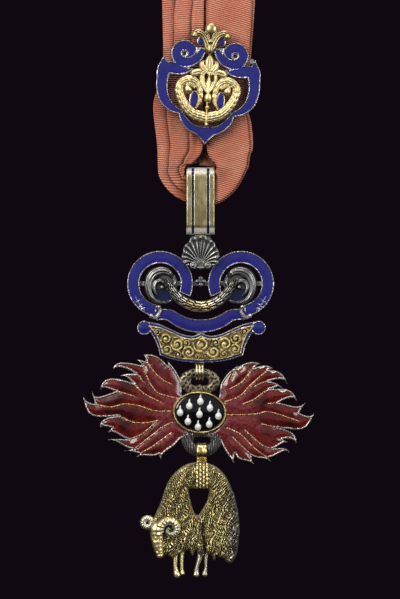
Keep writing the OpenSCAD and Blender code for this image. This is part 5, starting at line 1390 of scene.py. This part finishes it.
moon_gold = antique("moon_gold", (0.27, 0.23, 0.15), (0.12, 0.10, 0.065), (0.015, 0.012, 0.008))
moon_grey = metal("moon_grey", (0.36, 0.35, 0.33), (0.18, 0.175, 0.165), GREY_SHADE, rough=0.36)
for name, row, shape, finish in (("upper_moon", UPPER_MOON, upper_rise, moon_gold),
                                 ("lower_moon", LOWER_MOON, lower_rise, moon_grey)):
    low, high = sorted(row[1:3])
    moon = relief(name, (-4.8, low - 0.5, 5.2, high + 0.5), 0.11,
                  lambda x, z: moon_depth(x, z, row), shape, FLAMES_BACK, {"proud": pits}, FLAMES_AT)
    moon.data.materials.append(finish)
    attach(moon, "flames")
stone_rim = relief(
    "stone_rim", (-6.4, -5.1, 6.4, 5.1), 0.09,
    lambda x, z: np.minimum(ellipse(x, z, 0, 0, STONE_RX + STONE_RIM, STONE_RZ + STONE_RIM),
                            -ellipse(x, z, 0, 0, STONE_RX - 0.05, STONE_RZ - 0.05)),
    lambda x, z, depth: 1.25 + 0.35 * np.sqrt(np.clip(depth / 0.3, 0, 1)), -0.62, (), FLAMES_AT, FLAMES_LEAN)
stone_rim.data.materials.append(metal(
    "rim_gold", (0.62, 0.47, 0.22), (0.30, 0.22, 0.10), (0.03, 0.02, 0.01), rough=0.3))
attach(stone_rim, "flames")
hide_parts("flames")

# THE STONE AND ITS DROPS. A polished black oval, domed, with nine white drops standing on it point upward.
STONE_FACE, STONE_DOME = 0.95, 0.55
drop_places = np.array([(-0.78, -0.06), (-0.43, 0.32), (0, 0.6), (0.4, 0.3), (0.76, -0.1), (0, -0.08), (-0.44, -0.5),
                        (-0.02, -0.75), (0.42, -0.56)]) * [STONE_RX, STONE_RZ]
drop_run = curve([(0, -0.45, 0.95), (0, -0.12, 1.4), (0, 0.25, 1.0), (-0.03, 0.6, 0.5), (-0.08, 1.0, 0.4),
                  (0, 1.4, 0.2)])


def dome_rise(x, z):
    """The stone's domed face, which the drops sit on."""
    return STONE_FACE + STONE_DOME * np.sqrt(np.clip(1 - (x / STONE_RX) ** 2 - (z / STONE_RZ) ** 2, 0, 1))


stone = relief(
    "flint", (-5.6, -4.3, 5.6, 4.3), 0.14, lambda x, z: ellipse(x, z, 0, 0, STONE_RX - 0.1, STONE_RZ - 0.1),
    lambda x, z, depth: dome_rise(x, z), 0.3, (), FLAMES_AT, FLAMES_LEAN)
black = Finish("black_stone", Coat_Roughness=0.03, Coat_Weight=0.8, Metallic=0.0)
smear = black.noise(1.5, 4.0).step(0.5, 0.8)
stone.data.materials.append(black.feed(
    Base_Color=black.mix(smear, (0.004, 0.004, 0.005), (0.016, 0.017, 0.022)), Roughness=smear * 0.15 + 0.06))
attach(stone, "flames")
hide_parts("flint")

white = Finish("white_enamel", Coat_Roughness=0.1, Coat_Weight=0.4, Metallic=0.0)
# Grey where the drop meets the stone is painted shade, and the noise adds random stains
stain_and_shade = (white.shelter(0.5) + white.noise(0.5) * 0.25).step(0.2, 0.8)
white.feed(Base_Color=white.mix(stain_and_shade, (0.95, 0.95, 0.92), (0.6, 0.6, 0.57)), Roughness=stain_and_shade * 0.2 + 0.25)
for number, (px, pz) in enumerate(drop_places, 1):
    drop = relief(
        f"drop_{number}", (px - 0.9, pz - 1.2, px + 0.9, pz + 1.7), 0.06,
        lambda x, z: stroke(x - px, z - pz, drop_run)[0],
        lambda x, z, depth: dome_rise(x, z) + 0.7 * np.sqrt(np.clip(depth / 0.7, 0, 1)) + 0.02,
        lambda x, z, depth: dome_rise(x, z) - 0.02, (), FLAMES_AT, FLAMES_LEAN)
    drop.data.materials.append(white.material)
    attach(drop, "flames")
    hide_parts(f"drop_{number}")

# THE FLEECE'S RING. A broad gold band bent into a ring goes through the lower moon and down to the strap.
RING_AT, BAND_HALF, BAND_WALL = (0.25, -168.66), 1.05, 0.6
# Half the band's section: inner face, rounded edge and outer face, with a shallow channel down its middle
half_band = np.array([(BAND_HALF - 0.08, 0), (BAND_HALF, 0.06), (BAND_HALF, BAND_WALL - 0.14),
                      (BAND_HALF - 0.2, BAND_WALL), (0.55, BAND_WALL - 0.02), (0.4, BAND_WALL - 0.09)])
band_section = np.concatenate([half_band * [-1, 1], half_band[::-1]])
turn = np.linspace(0, 2 * math.pi, 56, endpoint=False)[:, None]
band_r = HOOP_R + band_section[:, 1]
ring_x, ring_z = RING_AT
band_ring = np.stack([ring_x + band_section[:, 0] + 0 * turn, FRONT_Y / MM + band_r * np.cos(turn),
                      ring_z + band_r * np.sin(turn)], -1)
fleece_ring = solid("fleece_ring", [
    lattice(band_ring, True, True),
    bar_shape((ring_x - 1.0, FRONT_Y / MM - 0.5, ring_z - 2.3), (ring_x + 1.0, FRONT_Y / MM + 0.5, ring_z - 1.8))])
fleece_ring.data.materials.append(metal(
    "ring_gold", (0.86, 0.66, 0.26), (0.55, 0.40, 0.14), GILT_SHADE, rough=0.24, shade_strength=0.8))
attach(fleece_ring, "fleece")
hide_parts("fleece_ring")

# THE FLEECE. A hanging ram of cast and chased gilt silver, worked on both faces: a thick U of wool locks with a
# heart-shaped gap under the strap, a bowed head with curled horns to the left, four thin legs.
FLEECE_AT = (0.1, -166.66)
# Outline from the strap's left round to its right, in millimetres from the ring's top: across, up
fleece_outline = curve([
    (-1.2, -4.3), (-2.6, -4.55), (-4.0, -5.2), (-5.4, -6.3), (-6.8, -7.9), (-7.7, -9.6), (-8.3, -11.4), (-8.9, -13.2),
    (-9.7, -15.0), (-10.3, -16.5), (-10.9, -18.2), (-11.2, -20.0), (-10.8, -22.0), (-10.3, -23.8), (-9.6, -25.0),
    (-8.8, -25.4), (-7.6, -24.7), (-6.4, -25.4), (-5.5, -24.9), (-4.6, -24.4), (-3.6, -23.9), (-2.6, -23.6),
    (-1.9, -24.9), (-1.2, -23.7), (-0.4, -24.6), (0.4, -25.3), (1.1, -24.8), (2.2, -24.6), (2.9, -25.9), (3.5, -24.9),
    (4.2, -25.4), (5.0, -25.5), (5.6, -26.2), (6.3, -26.6), (7.0, -26.2), (7.7, -25.0), (8.1, -23.5), (8.3, -21.5),
    (8.5, -19.5), (8.4, -17.5), (8.2, -15.5), (7.8, -13.5), (7.4, -11.6), (6.6, -9.8), (5.9, -8.2), (4.9, -6.7),
    (3.7, -5.5), (2.4, -4.8), (1.0, -4.3)], 3)[:-1]
heart_outline = curve([
    (-2.7, -10.2), (-2.3, -9.95), (-1.2, -10.2), (-0.2, -10.0), (0.6, -10.2), (1.4, -10.0), (1.75, -10.6),
    (1.6, -11.8), (1.0, -13.4), (0.2, -14.8), (-0.6, -15.9), (-1.3, -15.6), (-1.9, -14.2), (-2.3, -12.6),
    (-2.7, -11.2)], 3)[:-1]
leg_rows = [
    [(-5.4, -23.6, 1.5), (-5.6, -25.0, 1.15), (-5.65, -27.3, 0.9), (-5.25, -29.1, 1.45)],
    [(-4.1, -23.6, 1.2), (-4.2, -25.6, 0.85), (-4.2, -27.8, 0.75), (-4.0, -28.7, 1.0)],
    [(-0.1, -24.0, 1.5), (-0.3, -25.5, 1.1), (-0.9, -27.5, 0.85), (-1.0, -29.0, 1.3)],
    [(1.2, -24.0, 1.2), (1.1, -25.6, 0.85), (1.05, -27.6, 0.75), (0.85, -28.9, 1.25)]]
leg_runs = [curve(rows, 4) for rows in leg_rows]
HORN_FAR, HORN_NEAR = (-11.75, -17.6, 0.95, 1.45), (-6.7, -19.0, 2.45)
MUZZLE = curve([(-9.6, -18.9, 2.9), (-9.6, -21.0, 2.6), (-9.3, -23.2, 2.0), (-9.0, -24.6, 1.6)], 4)
BELLY, LOCK_L, LOCK_W = 1.55, 1.45, 0.72
# The strap's middle, the pitch and half breadth of its four strings, and its foot
STRAP_X, STRING_PITCH, STRING_HALF, STRAP_FOOT = 0.25, 0.72, 0.36, -10.0
EYE_AT, NOSTRIL_AT, FRONT_SEED = (-9.9, -20.8), (-9.6, -23.7), 0.7


def ring_band(x, z, cx, cz, r, breadth):
    """Depth inside a ring of the given middle radius and breadth, and the place across it."""
    away = np.hypot(x - cx, z - cz) - r
    return breadth / 2 - np.abs(away), away / (breadth / 2)


def fleece_body(x, z):
    """Inside the wool's outline and outside the heart-shaped gap."""
    return np.minimum(polygon_depth(x, z, fleece_outline), -polygon_depth(x, z, heart_outline))


def fleece_depth(x, z):
    """Inside the wool, the far horn or a leg."""
    legs = [stroke(x, z, run)[0] for run in leg_runs]
    return np.maximum.reduce([fleece_body(x, z), ring_band(x, z, *HORN_FAR)[0], *legs])


def flow_of(x, z):
    """The way the wool hangs: outward and down from the strap along the U, as a turn from straight down."""
    return np.clip(-(x + 0.6) / 9.0, -1, 1) * np.clip((z + 24) / 18, 0, 1) * 0.9


def locks(x, z, seed):
    """Wool: rows of short overlapping locks laid along the hang of the fleece. Each lock is a teardrop with a parting
    down its middle, its place jittered from its neighbours', so that no two rows line up."""
    turn = flow_of(x, z)
    bend_x = x + 0.35 * np.sin(1.7 * z + seed) + 0.2 * np.sin(3.1 * x - 1.3 * z)
    bend_z = z + 0.35 * np.sin(1.5 * x + 2 * seed)
    along = -bend_z * np.cos(turn) + bend_x * np.sin(turn)
    across = bend_x * np.cos(turn) + bend_z * np.sin(turn)
    height = np.zeros(np.shape(x))
    for shift in (0.0, 0.5):
        row = np.floor(along / LOCK_L + shift)
        share = along / LOCK_L + shift - row
        side = across / LOCK_W + 0.5 * np.mod(row, 2) + 0.25 * np.sin(2.3 * row + seed) + shift
        cell = np.floor(side)
        jitter = np.sin(12.9 * cell + 7.1 * row + seed)
        off = side - cell - 0.5 + 0.12 * jitter + 0.22 * np.sin(2 * math.pi * share + 3 * jitter)
        lock = (1 - (off / (0.50 - 0.28 * share)) ** 2) * (0.35 + 0.65 * share) * (1 - soft_step(share, 0.86, 1.0))
        groove = 0.35 * np.exp(-((off / 0.09) ** 2)) * (1 - share)
        height = np.maximum(height, np.clip(lock, 0, 1) - groove + 0.12 * jitter * shift)
    return np.clip(height, 0, 1.1)


def cleft(x, z, width):
    """1 in the furrow between the haunches, which leans to the left as it goes down."""
    return np.exp(-(((x - 0.7 + 0.1 * z + 2.2) / width) ** 2)) * soft_step(-z, 17.0, 18.5)


def fleece_rise_of(seed, near):
    """The rise of one face. near is true on the front, where the head and near horn are, and false on the back."""

    def rise(x, z, depth):
        body = np.minimum(fleece_body(x, z), 3.0)
        inward = np.clip(body / 3.0, 0, 1)
        swell = 0.25 + BELLY * np.sqrt(inward * (2 - inward))
        wool = locks(x, z, seed) * 0.72 * soft_step(body, -0.05, 0.5)
        # Body, shoulder and haunch stand a little over the hanging sides
        shoulder = 0.5 * np.exp(-(((x + 3.0) / 3.2) ** 2) - ((z + 20.5) / 3.0) ** 2)
        haunch = 0.4 * np.exp(-(((x - 3.6) / 2.6) ** 2) - ((z + 20.5) / 3.4) ** 2)
        top = swell + wool + shoulder + haunch - 0.9 * cleft(x, z, 0.5)
        # The strap: four beaded strings down from the ring, their beads out of step
        for i in range(4):
            string = 1 - ((x - STRAP_X - (i - 1.5) * STRING_PITCH) / STRING_HALF) ** 2
            bead = 0.7 + 0.3 * np.cos(2 * math.pi * z / 0.95 + math.pi * i)
            strap = swell + 0.15 + 0.65 * np.sqrt(np.clip(string, 0, 1)) * bead
            top = np.where((string > 0) & (z > STRAP_FOOT), np.maximum(strap, top - 0.35), top)
        for run in leg_runs:
            inside, across, along = stroke(x, z, run)
            leg = 0.15 + 0.55 * rounded(across) + 0.25 * soft_step(along, 4.6, 5.2)
            top = np.where((inside > 0) & (body < 0.3), np.maximum(leg, np.where(body > 0, top, -1)), top)
        if near:
            inside, across, along = stroke(x, z, MUZZLE)
            face = 2.1 + 0.85 * rounded(across) - 0.09 * along + 0.02 * np.sin(7 * along)
            eye = np.hypot(x - EYE_AT[0], z - EYE_AT[1])
            face = face + 0.22 * np.exp(-((eye / 0.32) ** 2)) - 0.28 * np.exp(-(((eye - 0.5) / 0.14) ** 2))
            mouth = 0.25 * np.exp(-(((z + 24.4 - 0.25 * (x + 9.0)) / 0.13) ** 2)) * (x < -8.7)
            nostril = 0.3 * np.exp(-(((x - NOSTRIL_AT[0]) / 0.17) ** 2) - ((z - NOSTRIL_AT[1]) / 0.2) ** 2)
            top = np.where(inside > 0, np.maximum(top - 0.6, face - mouth - nostril), top)
            # The near horn: a spiral whose breadth shrinks as it winds in, ringed with growth ridges
            u, v = x - HORN_NEAR[0], z - HORN_NEAR[1]
            away, turn = np.hypot(u, v), np.mod(np.arctan2(v, -u) + 0.4, 2 * math.pi)
            for wound in (turn, turn + 2 * math.pi):
                path = HORN_NEAR[2] * (1 - 0.115 * wound)
                breadth = 1.1 * (1 - 0.075 * wound)
                off = (away - path) / np.maximum(breadth, 0.1)
                horn = 2.5 + 0.85 * np.sqrt(np.clip(1 - off**2, 0, 1)) + 0.08 * np.cos(16 * turn)
                top = np.where((np.abs(off) < 1) & (path > 0.25), np.maximum(top, horn), top)
        inside, across = ring_band(x, z, *HORN_FAR)
        far = 0.2 + 0.75 * rounded(across) + 0.04 * np.cos(14 * np.arctan2(z - HORN_FAR[1], x - HORN_FAR[0]))
        return np.where((inside > 0) & (body < 0.2), np.maximum(far, np.where(body > 0, top, -1)), top)

    return rise


def fleece_proud(x, z, depth):
    """Where the surface stands proud and is rubbed bright: the locks' ridges, the strap, legs, horns and face."""
    smooth = np.maximum.reduce([stroke(x, z, run)[0] for run in (*leg_runs, MUZZLE)] + [
        ring_band(x, z, *HORN_FAR)[0], ellipse(x, z, *HORN_NEAR)])
    string = 0.5 + 0.5 * np.cos(2 * math.pi * (x - STRAP_X) / STRING_PITCH + math.pi)
    wool = np.maximum(locks(x, z, FRONT_SEED) * (1 - cleft(x, z, 0.45)), 0.85 * soft_step(smooth, 0, 0.3))
    return np.where((z > STRAP_FOOT + 0.1) & (np.abs(x - STRAP_X) < 2 * STRING_PITCH - 0.04), string, wool)


def fleece_pale(x, z, depth):
    """Where the gilding is worn to silver: horns, face, legs and the outer edges."""
    worn = [ellipse(x, z, *HORN_NEAR) - 0.1, ring_band(x, z, *HORN_FAR)[0] + 0.3,
            np.minimum(z * -0.2 - 4.9, (x + 2) * 0.5), (x - 4.6) * 0.26,
            *(stroke(x, z, run)[0] + 0.3 for run in leg_runs[2:])]
    return soft_step(np.maximum.reduce(worn), -0.2, 0.9) * 0.62


front_rise, back_rise = fleece_rise_of(FRONT_SEED, True), fleece_rise_of(2.9, False)
fleece = relief(
    "gilt_fleece", (-13.6, -30.3, 8.9, -3.9), 0.1, fleece_depth, front_rise,
    lambda x, z, depth: -back_rise(x, z, depth), {"proud": fleece_proud, "pale": fleece_pale}, FLEECE_AT)
wool_finish = Finish("fleece_gilt", Metallic=0.88)
warm, wool_rough, crumb = worn_and_shaded_metal(
    wool_finish, (1.0, 0.88, 0.46), (0.80, 0.62, 0.28), (0.07, 0.05, 0.025), 0.28, 0.7, 0.5)
cool, _, _ = worn_and_shaded_metal(wool_finish, (0.72, 0.68, 0.54), (0.36, 0.33, 0.25), (0.04, 0.032, 0.024), 0.27, 0.9, 0.5)
rubbed = (wool_finish.mark("pale") + wool_finish.noise(1.5, 3.0) * 0.7).step(0.45, 0.95)
hollow = (1 - wool_finish.mark("proud") + wool_finish.noise(0.9) * 0.5 - 0.28).step(0.3, 0.9)
wool_bump = wool_finish.bump(crumb + wool_finish.noise(0.35, 3.0), 0.08, 0.4)
fleece.data.materials.append(wool_finish.feed(
    Base_Color=wool_finish.mix(hollow * 0.82, wool_finish.mix(rubbed, warm, cool), (0.05, 0.034, 0.022)),
    Roughness=wool_rough + hollow * 0.2, Normal=wool_bump))
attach(fleece, "fleece")
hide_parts("fleece")
# CLOSING. The sizes of the CAD model and of the dressed model.
low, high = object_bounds()
{"cad": [list(cad_low), list(cad_high)], "visual": [list(low), list(high)]}
